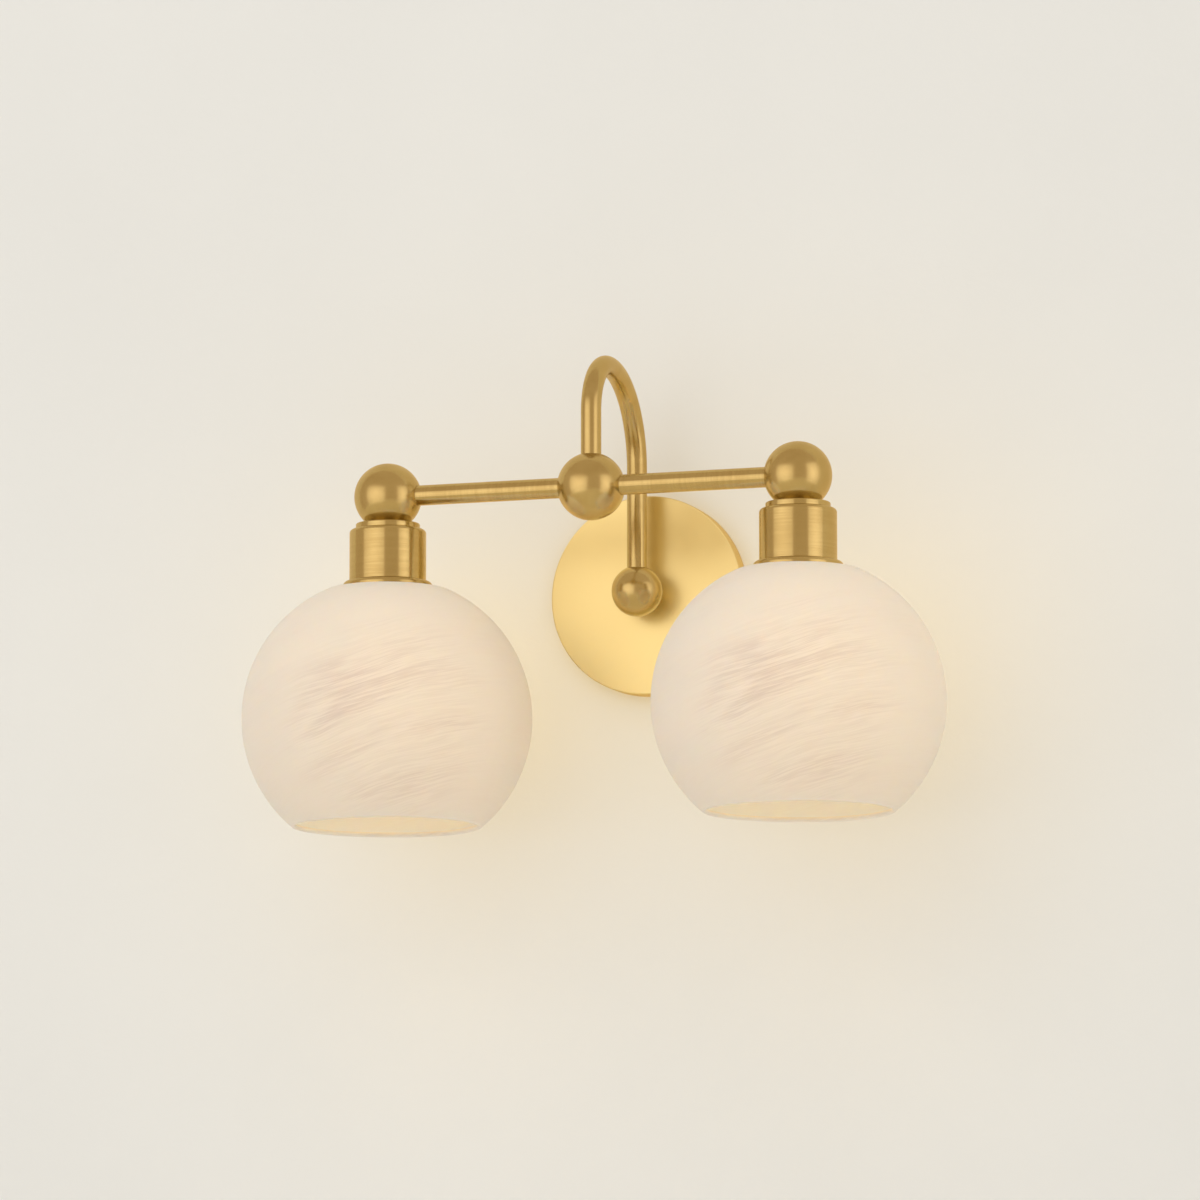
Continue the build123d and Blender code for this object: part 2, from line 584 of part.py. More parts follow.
def shade_ring():
    """Threaded ring with finger notches that holds the glass up."""
    ring = pipe(RING_R, RING_BORE_R, RING_FOOT, RING_TOP)
    notch = Pos(RING_R, 0, 0) * rod(RING_NOTCH_DIA / 2, RING_FOOT, RING_TOP)
    for turn in range(RING_NOTCHES):
        ring -= Rot(0, 0, turn * 360 / RING_NOTCHES) * notch
    return ring


def bulb_foot():
    """Contact at the tip of the bulb."""
    return rod(FOOT_DIA / 2, BULB_TIP - FOOT_HEIGHT, BULB_TIP)


def bulb_insulator():
    """Dark glass cone between the foot contact and the cap."""
    plug_r = CAP_INNER_R - FIT_CLEARANCE
    outline = [(0, BULB_TIP - FOOT_HEIGHT), (INSULATOR_TIP_DIA / 2, BULB_TIP - FOOT_HEIGHT)]
    outline += [(CAP_INNER_R, CAP_TOP), (plug_r, CAP_TOP)]
    outline += [(plug_r, CAP_TOP - INSULATOR_PLUG), (0, CAP_TOP - INSULATOR_PLUG)]
    return turned(Polyline(*outline, close=True))


def bulb_cap():
    """Screw cap with rolled thread ridges over a plain skirt."""
    edges = [Line((CAP_INNER_R, CAP_TOP), (CAP_ROOT_R, CAP_TOP))]
    for turn in range(CAP_TURNS):
        high = CAP_TOP - turn * CAP_PITCH
        points = [(CAP_ROOT_R, high), (CAP_DIA / 2, high - CAP_PITCH / 2), (CAP_ROOT_R, high - CAP_PITCH)]
        edges.append(ThreePointArc(*points))
    edges.append(Polyline((CAP_ROOT_R, CAP_TOP - CAP_TURNS * CAP_PITCH), (CAP_ROOT_R, CAP_RIM),
                          (CAP_INNER_R, CAP_RIM), (CAP_INNER_R, CAP_TOP)))
    return turned(edges)


def bulb_envelope():
    """Frosted glass bulb: straight neck, hollow shoulder and round end."""
    bulge = BULB_DIA / 2
    centre = BULB_TIP - BULB_LENGTH + bulge
    spread = NECK_R + BULB_SHOULDER
    rise = sqrt((bulge + BULB_SHOULDER) ** 2 - spread**2)
    across, along = spread / (bulge + BULB_SHOULDER), rise / (bulge + BULB_SHOULDER)
    hip = centre + rise
    top = CAP_RIM + BULB_TUCK
    inner = bulge - BULB_WALL
    outer_join = (bulge * across, centre + bulge * along)
    inner_join = (inner * across, centre + inner * along)
    return turned([
        TangentArc((0, centre - bulge), outer_join, tangent=(1, 0)),
        TangentArc(outer_join, (NECK_R, hip), tangent=(-along, across)),
        Polyline((NECK_R, hip), (NECK_R, top), (NECK_R - BULB_WALL, top), (NECK_R - BULB_WALL, hip)),
        TangentArc((NECK_R - BULB_WALL, hip), inner_join, tangent=(0, -1)),
        TangentArc(inner_join, (0, centre - inner), tangent=(along, -across)),
        Line((0, centre - inner), (0, centre - bulge)),
    ])


def bulb_stem():
    """Glass post in the bulb, with a flare in the neck and a button at its end."""
    flare_top = CAP_RIM + BULB_TUCK
    flare_low = flare_top - STEM_FLARE
    stem = rod(NECK_R - BULB_WALL - FIT_CLEARANCE, flare_low, flare_top)
    stem += rod(STEM_DIA / 2, flare_low - STEM_LENGTH, flare_low)
    button_top = flare_low - STEM_LENGTH
    return stem + rod(STEM_BUTTON_DIA / 2, button_top - STEM_BUTTON_HEIGHT, button_top)


def bulb_filaments():
    """Straight glowing rods about the stem, from flare to button."""
    high = CAP_RIM + BULB_TUCK - STEM_FLARE
    one = Pos(FILAMENT_CIRCLE_DIA / 2, 0, 0) * rod(FILAMENT_DIA / 2, high - STEM_LENGTH, high)
    ring = [Rot(0, 0, turn * 360 / FILAMENT_COUNT) * one for turn in range(FILAMENT_COUNT)]
    return Compound(children=ring)


# Leads

def lead(side, row):
    """Insulated lead from the wall through arm and crossbar to one lampholder.

    Every turn is about the inner corner of the drilled passage that it goes round.
    row is 1 or -1, the near or far side of the passage.
    """
    sign = SIDES[side]
    step = row * LEAD_OFFSET
    x = sign * LEAD_OFFSET
    back_y = step - ARM_OFFSET
    front_y = -HUB_REACH - step
    crown = (x, -ARM_OFFSET - NECK_BACK_RADIUS, NECK_TOP + step)
    start = (x, -WALL_END_ROOM, step)
    knuckle_in = (x, BORE_R - ARM_OFFSET, step)
    knuckle_out = (x, back_y, BORE_R)
    back_bend = (x, back_y, NECK_TOP - NECK_BACK_RADIUS)
    front_bend = (x, front_y, NECK_TOP - NECK_FRONT_RADIUS)
    hub_in = (x, front_y, HUB_RISE + BORE_R)
    hub_out = (sign * BORE_R, front_y, HUB_RISE + LEAD_OFFSET)
    ball_in = (sign * (LAMP_X - BORE_R), front_y, HUB_RISE + LEAD_OFFSET)
    ball_out = (sign * (LAMP_X + LEAD_OFFSET), front_y, HUB_RISE - BORE_R)
    terminal = (sign * (LAMP_X + LEAD_OFFSET), front_y, HUB_RISE + HOLDER_TOP - TERMINAL_DEPTH)
    route = Wire([
        Line(start, knuckle_in),
        TangentArc(knuckle_in, knuckle_out, tangent=FRONT),
        Line(knuckle_out, back_bend),
        TangentArc(back_bend, crown, tangent=UP),
        TangentArc(crown, front_bend, tangent=FRONT),
        Line(front_bend, hub_in),
        TangentArc(hub_in, hub_out, tangent=DOWN),
        Line(hub_out, ball_in),
        TangentArc(ball_in, ball_out, tangent=(sign, 0, 0)),
        Line(ball_out, terminal),
    ])
    return sweep(facing(start, FRONT) * Circle(LEAD_DIA / 2), path=route)


# Every node by name

nodes = {
    "backplate": backplate(),
    "mounting_strap": mounting_strap(),
    "backplate_set_screws": set_screws(),
    "ground_screw": ground_screw(),
    "ground_lead": ground_lead(),
    "arm_nipple": arm_nipple(),
    "arm_collar": arm_collar(),
    "arm_lock_washer": arm_washer(),
    "arm_lock_nut": arm_nut(),
    "wire_bushing": wire_bushing(),
    "knuckle_ball": Pos(KNUCKLE) * drilled_ball(KNUCKLE_DIA, KNUCKLE_SEAT, [BACK, UP]),
    "gooseneck_tube": gooseneck_tube(),
    "hub_ball": Pos(HUB) * drilled_ball(BALL_DIA, BALL_SEAT, [UP, LEFT, RIGHT]),
    "tube_nipples": tube_nipples(),
}

lamp_pieces = {
    "cup_collar": cup_collar(),
    "socket_cup": socket_cup(),
    "shade_seat": shade_seat(),
    "holder_bracket": holder_bracket(),
    "lampholder_body": lampholder_body(),
    "screw_shell": screw_shell(),
    "centre_contact": centre_contact(),
    "glass_shade": glass_shade(),
    "shade_gasket": shade_gasket(),
    "shade_ring": shade_ring(),
    "bulb_foot": bulb_foot(),
    "bulb_insulator": bulb_insulator(),
    "bulb_cap": bulb_cap(),
    "bulb_envelope": bulb_envelope(),
    "bulb_stem": bulb_stem(),
    "bulb_filaments": bulb_filaments(),
}

for side in SIDES:
    centre = end_ball_centre(side)
    inward = (-SIDES[side], 0, 0)
    nodes["crossbar_" + side] = crossbar(side)
    nodes["end_ball_" + side] = Pos(centre) * drilled_ball(BALL_DIA, BALL_SEAT, [inward, DOWN])
    for name, piece in lamp_pieces.items():
        nodes[name + "_" + side] = Pos(centre) * piece
    nodes["lead_live_" + side] = lead(side, 1)
    nodes["lead_neutral_" + side] = lead(side, -1)

places = [Pos(end_ball_centre(side)) for side in SIDES]
nodes["cup_nipples"] = Compound(children=[place * cup_nipple() for place in places])
nodes["cup_lock_nuts"] = Compound(children=[place * cup_nut() for place in places])
nodes["holder_screws"] = Compound(
    children=[place * holder_screw(sign) for place in places for sign in SIDES.values()]
)

os.makedirs("parts", exist_ok=True)
for name, shape in nodes.items():
    export_step(shape, "parts/" + name + ".step")
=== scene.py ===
"""Dresses the two-lamp vanity light: brass, opal glass, bulbs, fittings, and a plain studio wall."""

import math

import bpy
from bpy.props import FloatProperty, FloatVectorProperty, IntProperty, PointerProperty
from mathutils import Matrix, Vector, noise


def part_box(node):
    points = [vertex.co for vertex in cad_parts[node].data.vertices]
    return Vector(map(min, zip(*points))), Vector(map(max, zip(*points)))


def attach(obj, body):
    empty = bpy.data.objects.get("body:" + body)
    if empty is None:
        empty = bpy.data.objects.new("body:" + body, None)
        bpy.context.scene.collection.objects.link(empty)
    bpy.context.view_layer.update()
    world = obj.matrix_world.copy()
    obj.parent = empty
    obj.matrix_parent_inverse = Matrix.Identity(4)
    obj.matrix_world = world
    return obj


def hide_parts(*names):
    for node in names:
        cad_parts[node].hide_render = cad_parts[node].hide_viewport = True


bl_info = {
    "name": "Vanity light looks",
    "version": (1, 0, 0),
    "blender": (4, 5, 0),
    "location": "View3D > Sidebar > Vanity light",
    "description": "Finishes and modelled details of a two-lamp vanity light, on a studio wall",
    "category": "Object",
}

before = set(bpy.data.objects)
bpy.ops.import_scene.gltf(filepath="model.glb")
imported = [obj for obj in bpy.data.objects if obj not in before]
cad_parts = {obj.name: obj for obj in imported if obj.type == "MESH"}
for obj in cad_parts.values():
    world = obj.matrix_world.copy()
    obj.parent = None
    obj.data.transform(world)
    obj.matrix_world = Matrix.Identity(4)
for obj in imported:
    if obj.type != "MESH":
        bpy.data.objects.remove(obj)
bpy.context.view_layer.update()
MM = 0.001
SIDES = ("left", "right")

# Glass section, in metres, as the solid has it
SHADE_SIDE_RADIUS = 83.75 * MM
SHADE_WALL = 3.2 * MM
SHADE_SHOULDER = 14.0 * MM
SHADE_FLAT_RADIUS = 34.25 * MM
SHADE_MOUTH_RADIUS = 55.0 * MM
SHADE_HOLE_RADIUS = 20.95 * MM
SHADE_TOP_STEPS = 6
SHADE_BEND_STEPS = 10
SHADE_SIDE_STEPS = 64

# Blown glass: depth over which it turns uneven, height of a swell, and sway of the streaks
FITTED_DEPTH = 40 * MM
UNEVEN_HEIGHT = 60 * MM
STREAK_WANDER = 9 * MM

# Screw thread of bulb cap and lampholder liner
THREAD_PITCH = 3.63 * MM
THREAD_FADE = 1.2 * MM
THREAD_STEPS = 72
CAP_CREST_RADIUS = 13.2 * MM
CAP_ROOT_RADIUS = 12.4 * MM
CAP_WALL = 0.3 * MM
CAP_THREAD_LENGTH = 15.2 * MM
LINER_WALL = 0.5 * MM
LINER_GROOVE = 0.4 * MM
LINER_EYE_RADIUS = 7.0 * MM

# Studio, in metres
WALL_BEHIND = 0.4 * MM
WALL_HALF_WIDTH = 3.0
WALL_TOP = 2.2
WALL_HOLE_RADIUS = 57.5 * MM
WALL_HOLE_STEPS = 64
FLOOR_HEIGHT = -1.3
FLOOR_FRONT = -4.5
COVE_RADIUS = 0.4
COVE_STEPS = 16
CAMERA_REACH = 100

# Rubbed edges with a painted highlight along them, by the cosine between rounded and plain normal
EDGE_BEGINS = 0.98
EDGE_FULL = 0.80

# Smooth shading and noise
SHARP_ANGLE = math.radians(40)
NOISE_ROUGHNESS = 0.55
NOISE_LOW, NOISE_HIGH = 0.25, 0.75
CLOUD_LOW, CLOUD_HIGH = 0.3, 0.7

# Plated metals: colour, stain, roughness
PLATED = {
    "zinc_plate": ((0.64, 0.65, 0.63), (0.56, 0.53, 0.42), 0.32),
    "zinc_plate_holder": ((0.62, 0.63, 0.62), (0.55, 0.52, 0.44), 0.3),
    "contact_brass": ((0.70, 0.52, 0.22), (0.52, 0.36, 0.14), 0.25),
    "nickel_cap": ((0.66, 0.64, 0.60), (0.55, 0.52, 0.47), 0.22),
    "solder": ((0.58, 0.58, 0.57), (0.42, 0.42, 0.41), 0.4),
    "green_screw": ((0.06, 0.30, 0.11), (0.04, 0.20, 0.08), 0.35),
    "bare_copper": ((0.78, 0.40, 0.24), (0.55, 0.26, 0.14), 0.28),
}

# Moulded stuffs: colour, specks, roughness
MOULDED = {
    "silicone": ((0.78, 0.77, 0.74), (0.70, 0.69, 0.66), 0.5),
    "white_phenolic": ((0.82, 0.80, 0.74), (0.74, 0.71, 0.64), 0.35),
    "black_glass": ((0.012, 0.012, 0.014), (0.03, 0.028, 0.03), 0.12),
    "black_bushing": ((0.03, 0.03, 0.03), (0.05, 0.05, 0.05), 0.4),
    "black_insulation": ((0.02, 0.02, 0.02), (0.04, 0.04, 0.04), 0.35),
    "white_insulation": ((0.84, 0.84, 0.82), (0.76, 0.76, 0.73), 0.35),
}
MOULDED_GRAIN = 1500.0


def lamp_axis(side):
    """Point on a lamp's axis at the height of its glass seat."""
    low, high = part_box("glass_shade_" + side)
    return Vector(((low.x + high.x) / 2, (low.y + high.y) / 2, high.z))


# Sizes and colours that a user would change

class BrassLook(bpy.types.PropertyGroup):
    """Brass of arm, cups and backplate."""

    satin_colour: FloatVectorProperty(
        name="Satin brass", description="Colour of arm, balls and cups", subtype="COLOR",
        size=3, min=0, max=1, default=(0.62, 0.515, 0.268))
    worn_colour: FloatVectorProperty(
        name="Aged brass", description="Darker tone in the satin brass", subtype="COLOR",
        size=3, min=0, max=1, default=(0.57, 0.46, 0.226))
    plate_colour: FloatVectorProperty(
        name="Bright brass", description="Colour of the backplate's face", subtype="COLOR",
        size=3, min=0, max=1, default=(0.88, 0.785, 0.447))
    # Lighter edges: partly rubbed wear, partly a painted highlight along the edges
    edge_highlight_colour: FloatVectorProperty(
        name="Rubbed edges", description="Lighter brass where edges are rubbed", subtype="COLOR",
        size=3, min=0, max=1, default=(0.80, 0.71, 0.47))
    edge_width: FloatProperty(
        name="Edge width", description="Width of a rubbed edge", subtype="DISTANCE",
        unit="LENGTH", min=0.05 * MM, max=5 * MM, default=0.5 * MM)
    satin_roughness: FloatProperty(
        name="Satin roughness", description="Roughness of tubes and cups", subtype="FACTOR",
        min=0, max=1, default=0.22)
    ball_roughness: FloatProperty(
        name="Ball roughness", description="Roughness of the balls", subtype="FACTOR",
        min=0, max=1, default=0.237)
    plate_roughness: FloatProperty(
        name="Plate roughness", description="Roughness of the backplate's face", subtype="FACTOR",
        min=0, max=1, default=0.315)
    line_spacing: FloatProperty(
        name="Turning lines", description="Spacing of the fine lines left by turning",
        subtype="DISTANCE", unit="LENGTH", min=0.05 * MM, max=5 * MM, default=1.0 * MM)


class GlassLook(bpy.types.PropertyGroup):
    """Streaked opal glass of the shades."""

    milk_colour: FloatVectorProperty(
        name="Opal glass", description="Colour of the clear opal", subtype="COLOR",
        size=3, min=0, max=1, default=(0.868, 0.792, 0.722))
    streak_colour: FloatVectorProperty(
        name="Streaks", description="Colour of the denser streaks", subtype="COLOR",
        size=3, min=0, max=1, default=(0.735, 0.655, 0.60))
    # Painted shade: a bluer copy of the opal glass for its inside, which tones down the bulb's warm
    # light there
    inside_shade_colour: FloatVectorProperty(
        name="Inside", description="Colour of the glass on its inside", subtype="COLOR",
        size=3, min=0, max=1, default=(0.84, 0.865, 0.94))
    streak_tilt: FloatProperty(
        name="Streak tilt", description="Rise of the streaks towards the right", subtype="ANGLE",
        unit="ROTATION", default=math.radians(17))
    streak_turn: FloatProperty(
        name="Streak turn", description="Turn of the streaks' rise about the lamp's axis",
        subtype="ANGLE", unit="ROTATION", default=math.radians(18.6))
    streak_shift: FloatProperty(
        name="Streak shift", description="How far the streaks are moved down", subtype="DISTANCE",
        unit="LENGTH", default=-17 * MM)
    streak_spacing: FloatProperty(
        name="Streak spacing", description="Height from one streak to the next", subtype="DISTANCE",
        unit="LENGTH", min=0.5 * MM, max=50 * MM, default=1.35 * MM)
    streak_length: FloatProperty(
        name="Streak length", description="Length of a streak", subtype="DISTANCE",
        unit="LENGTH", min=5 * MM, max=500 * MM, default=30 * MM)
    scatter_depth: FloatProperty(
        name="Scatter depth", description="How far light goes in the glass before it turns",
        subtype="DISTANCE", unit="LENGTH", min=0.1 * MM, max=50 * MM, default=7.0 * MM)
    clearness: FloatProperty(
        name="Clearness", description="Share of light that goes through without turning back",
        subtype="FACTOR", min=0, max=1, default=0.17)
    roughness: FloatProperty(
        name="Roughness", description="Roughness of the satin glass", subtype="FACTOR",
        min=0, max=1, default=0.62)
    unevenness: FloatProperty(
        name="Unevenness", description="How far the blown wall strays from a true globe",
        subtype="DISTANCE", unit="LENGTH", min=0, max=2 * MM, default=0.25 * MM)
    segments: IntProperty(
        name="Segments", description="Faces round the shade", min=24, max=512, default=192)


class BulbLook(bpy.types.PropertyGroup):
    """Light of the bulbs."""

    light_colour: FloatVectorProperty(
        name="Light", description="Colour of the bulb's light", subtype="COLOR",
        size=3, min=0, max=1, default=(1.0, 0.70, 0.29))
    light_strength: FloatProperty(
        name="Strength", description="Brightness of the frosted bulb", min=0, max=100, default=5.0)
    segments: IntProperty(
        name="Segments", description="Faces round a screw thread", min=24, max=512, default=96)


class StudioLook(bpy.types.PropertyGroup):
    """Wall, lights and camera."""

    wall_colour: FloatVectorProperty(
        name="Wall", description="Colour of wall and floor", subtype="COLOR",
        size=3, min=0, max=1, default=(0.86, 0.85, 0.825))
    room_colour: FloatVectorProperty(
        name="Room light", description="Colour of the light from all round", subtype="COLOR",
        size=3, min=0, max=1, default=(0.91, 0.895, 0.855))
    mirrored_colour: FloatVectorProperty(
        name="Mirrored room",
        description="Colour of the room that the brass mirrors between the lights",
        subtype="COLOR", size=3, min=0, max=1, default=(0.62, 0.452, 0.259))
    mirrored_wall: FloatVectorProperty(
        name="Mirrored wall", description="Colour of the wall where brass and glass mirror it",
        subtype="COLOR", size=3, min=0, max=1, default=(0.82, 0.645, 0.385))
    glow_colour: FloatVectorProperty(
        name="Wall glow", description="Colour of the lamps' light on the wall", subtype="COLOR",
        size=3, min=0, max=1, default=(1.0, 0.72, 0.22))
    glow_power: FloatProperty(
        name="Wall glow power", description="Power of each lamp's light on the wall", subtype="POWER",
        unit="POWER", min=0, max=50, default=0.205)
    softbox_colour: FloatVectorProperty(
        name="Softboxes", description="Colour of the softboxes that the brass mirrors",
        subtype="COLOR", size=3, min=0, max=1, default=(1.0, 0.87, 0.70))
    key_radiance: FloatProperty(
        name="Left softbox", description="Brightness of the large softbox on the left",
        min=0, max=50, default=0.86)
    plate_radiance: FloatProperty(
        name="Plate softbox", description="Brightness of the wide softbox that the backplate mirrors",
        min=0, max=50, default=0.68)
    side_radiance: FloatProperty(
        name="Right softbox", description="Brightness of the softbox on the right",
        min=0, max=50, default=0.86)
    left_wash: FloatProperty(
        name="Left wash", description="Brightness of the left panel, not mirrored in brass",
        min=0, max=50, default=0.30)
    right_wash: FloatProperty(
        name="Right wash", description="Brightness of the right panel, which lights the glass alone",
        min=0, max=50, default=0.70)
    box_radiance: FloatProperty(
        name="Wall box light",
        description="Brightness behind the wall, which lights the backplate's hollow",
        min=0, max=50, default=0.5)
    right_colour: FloatVectorProperty(
        name="Right wash tone", description="Colour of the right panel", subtype="COLOR",
        size=3, min=0, max=1, default=(1.0, 0.77, 0.43))
    edge_share: FloatProperty(
        name="Softbox edges", description="Brightness of a softbox at its corners against its middle",
        subtype="FACTOR", min=0, max=1, default=0.4)
    camera_azimuth: FloatProperty(
        name="Azimuth", description="Camera's turn to the right of the front", subtype="ANGLE",
        unit="ROTATION", default=math.radians(18.62))
    camera_elevation: FloatProperty(
        name="Elevation", description="Camera's height over the horizon", subtype="ANGLE",
        unit="ROTATION", default=math.radians(-8.193))
    camera_distance: FloatProperty(
        name="Distance", description="Camera to the wall along its view", subtype="DISTANCE",
        unit="LENGTH", default=4.4)
    camera_target: FloatVectorProperty(
        name="Target", description="Point of the wall at the picture's centre", subtype="XYZ",
        unit="LENGTH", size=3, default=(-0.03319, 0, 0.00015))
    camera_lens: FloatProperty(
        name="Lens", description="Focal length", subtype="DISTANCE_CAMERA", unit="CAMERA",
        default=219.15)


# Node helpers

class Finish:
    """A material under construction, with short calls for its nodes."""

    def __init__(self, name):
        self.material = bpy.data.materials.new(name)
        self.material.use_nodes = True
        self.tree = self.material.node_tree
        self.shader = self.tree.nodes["Principled BSDF"]

    def feed(self, socket, value):
        """Links an output to a socket, or sets the socket's own value."""
        if isinstance(value, bpy.types.NodeSocket):
            self.tree.links.new(value, socket)
        elif socket.type == "RGBA":
            socket.default_value = (*value, 1)
        else:
            socket.default_value = value

    def add(self, kind, inputs, **settings):
        """New node with its settings and inputs."""
        node = self.tree.nodes.new("ShaderNode" + kind)
        for name, value in settings.items():
            setattr(node, name, value)
        for name, value in inputs.items():
            self.feed(node.inputs[name], value)
        return node

    def surface(self, **inputs):
        """Sets inputs of the shader, such as Base_Color."""
        for name, value in inputs.items():
            self.feed(self.shader.inputs[name.replace("_", " ")], value)

    def place(self, scale=(1, 1, 1), turn=(0, 0, 0), shift=(0, 0, 0)):
        """Object coordinates, moved, turned and scaled."""
        where = self.add("TexCoord", {}).outputs["Object"]
        moved = {"Vector": where, "Location": shift, "Rotation": turn, "Scale": scale}
        return self.add("Mapping", moved, vector_type="POINT").outputs["Vector"]

    def noise(self, vector, scale=1.0, detail=3.0, distortion=0.0):
        """Grey noise about one half."""
        inputs = {"Vector": vector, "Scale": scale, "Detail": detail}
        inputs |= {"Roughness": NOISE_ROUGHNESS, "Distortion": distortion}
        return self.add("TexNoise", inputs).outputs["Fac"]

    def ramp(self, value, low, high, low_to=0.0, high_to=1.0):
        """Value taken from one range to another, smoothly."""
        inputs = {"Value": value, "From Min": low, "From Max": high}
        inputs |= {"To Min": low_to, "To Max": high_to}
        return self.add("MapRange", inputs, interpolation_type="SMOOTHSTEP").outputs["Result"]

    def mix(self, factor, first, second):
        """Colour between two colours."""
        node = self.add("Mix", {}, data_type="RGBA")
        colours = [socket for socket in node.inputs if socket.type == "RGBA"]
        self.feed(node.inputs["Factor"], factor)
        self.feed(colours[0], first)
        self.feed(colours[1], second)
        return next(socket for socket in node.outputs if socket.type == "RGBA")

    def clouded(self, clouds, first, second):
        """Colour that clouds take from one colour to another."""
        return self.mix(self.ramp(clouds, CLOUD_LOW, CLOUD_HIGH), first, second)

    def uneven(self, pattern, value, low_share, high_share):
        """Value that a pattern takes from one share of it to another."""
        return self.ramp(pattern, NOISE_LOW, NOISE_HIGH, value * low_share, value * high_share)

    def math(self, operation, first, second):
        """Result of one operation on two values."""
        node = self.add("Math", {}, operation=operation)
        self.feed(node.inputs[0], first)
        self.feed(node.inputs[1], second)
        return node.outputs["Value"]

    def bump(self, height, distance):
        """Normal from a height that is worth a distance."""
        inputs = {"Height": height, "Distance": distance, "Strength": 1.0}
        return self.add("Bump", inputs).outputs["Normal"]

    def edge(self, width):
        """One along edges, none on what is flat or gently round."""
        rounded = self.add("Bevel", {"Radius": width}, samples=4).outputs["Normal"]
        plain = self.add("NewGeometry", {}).outputs["Normal"]
        cosine = self.add("VectorMath", {0: rounded, 1: plain}, operation="DOT_PRODUCT")
        return self.ramp(cosine.outputs["Value"], EDGE_BEGINS, EDGE_FULL)


def dress(material, *nodes):
    """Gives CAD nodes a material."""
    for name in nodes:
        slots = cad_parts[name].data.materials
        slots.clear()
        slots.append(material)


def shaded(colour, share):
    """A share of a colour's light."""
    return [channel * share for channel in colour]


def both(*names):
    """Node names of both lamps."""
    return [name + "_" + side for name in names for side in SIDES]


# Finishes

def rubbed_highlit_brass(finish, look, brass):
    """Brass tone that is lighter along edges: partly rubbed wear, partly a painted highlight."""
    return finish.mix(finish.edge(look.edge_width), brass, look.edge_highlight_colour)


def turned_brass(name, axis="Z"):
    """Satin brass with fine lines round an axis, as a lathe leaves them."""
    look = bpy.context.scene.vanity_brass
    finish = Finish(name)
    along, across = 30.0, 1 / look.line_spacing
    lines = finish.noise(finish.place([across if a == axis else along for a in "XYZ"]))
    clouds = finish.noise(finish.place(), scale=55.0, detail=4.0)
    tone = finish.ramp(finish.math("ADD", lines, clouds), 0.75, 1.25)
    tangent = finish.add("Tangent", {}, direction_type="RADIAL", axis=axis).outputs["Tangent"]
    brass = finish.mix(tone, look.worn_colour, look.satin_colour)
    rough = look.satin_roughness
    finish.surface(
        Base_Color=rubbed_highlit_brass(finish, look, brass), Metallic=1.0,
        Roughness=finish.ramp(tone, 0.0, 1.0, rough * 1.15, rough * 0.85),
        Anisotropic=0.75, Anisotropic_Rotation=0.25, Tangent=tangent,
        Normal=finish.bump(lines, 0.008 * MM))
    return finish.material


def satin_brass(name, roughness):
    """Satin brass polished by hand, with soft clouds and faint scuffs."""
    look = bpy.context.scene.vanity_brass
    finish = Finish(name)
    clouds = finish.noise(finish.place(), scale=70.0, detail=5.0, distortion=0.6)
    scuffs = finish.noise(finish.place((900, 900, 2600)), detail=2.0)
    brass = finish.clouded(clouds, look.worn_colour, look.satin_colour)
    finish.surface(
        Base_Color=rubbed_highlit_brass(finish, look, brass), Metallic=1.0,
        Roughness=finish.uneven(clouds, roughness, 1.12, 0.88),
        Normal=finish.bump(scuffs, 0.004 * MM))
    return finish.material


def bright_brass(name):
    """Semi-polished brass with a trace of circular brushing about the wall axis."""
    look = bpy.context.scene.vanity_brass
    finish = Finish(name)
    clouds = finish.noise(finish.place(), scale=24.0)
    where = finish.add("SeparateXYZ", {"Vector": finish.place()}).outputs
    flat = finish.add("CombineXYZ", {"X": where["X"], "Y": 0.0, "Z": where["Z"]}).outputs["Vector"]
    radius = finish.add("VectorMath", {0: flat}, operation="LENGTH").outputs["Value"]
    rings = finish.add("TexNoise", {"W": radius, "Scale": 1800.0, "Detail": 2.0}, noise_dimensions="1D")
    brass = finish.clouded(clouds, shaded(look.plate_colour, 0.97), look.plate_colour)
    finish.surface(
        Base_Color=rubbed_highlit_brass(finish, look, brass), Metallic=1.0,
        Roughness=finish.uneven(clouds, look.plate_roughness, 0.9, 1.15),
        Normal=finish.bump(rings.outputs["Fac"], 0.0008 * MM))
    return finish.material


def plated_metal(name):
    """Plated metal with stains and fine scratches."""
    colour, stain, roughness = PLATED[name]
    finish = Finish(name)
    clouds = finish.noise(finish.place(), scale=120.0, detail=4.0)
    scratches = finish.noise(finish.place((400, 2500, 900)), detail=2.0)
    finish.surface(
        Base_Color=finish.mix(finish.ramp(clouds, 0.35, 0.75), colour, stain), Metallic=1.0,
        Roughness=finish.uneven(scratches, roughness, 0.8, 1.25),
        Normal=finish.bump(scratches, 0.004 * MM))
    return finish.material


def moulded(name):
    """Moulded plastic, rubber or black glass with specks and a fine skin."""
    colour, speck, roughness = MOULDED[name]
    finish = Finish(name)
    specks = finish.noise(finish.place(), scale=MOULDED_GRAIN, detail=2.0)
    clouds = finish.noise(finish.place(), scale=80.0)
    tone = finish.ramp(finish.math("ADD", specks, clouds), 0.85, 1.35)
    finish.surface(
        Base_Color=finish.mix(tone, colour, speck),
        Roughness=finish.uneven(clouds, roughness, 0.85, 1.15),
        Normal=finish.bump(specks, 0.01 * MM))
    return finish.material


def glazed_porcelain(name):
    """White porcelain under a clear glaze."""
    finish = Finish(name)
    clouds = finish.noise(finish.place(), scale=60.0)
    finish.surface(
        Base_Color=finish.clouded(clouds, (0.83, 0.82, 0.78), (0.89, 0.885, 0.86)),
        Roughness=finish.ramp(clouds, NOISE_LOW, NOISE_HIGH, 0.12, 0.2),
        Coat_Weight=0.6, Coat_Roughness=0.05,
        Normal=finish.bump(clouds, 0.05 * MM))
    return finish.material


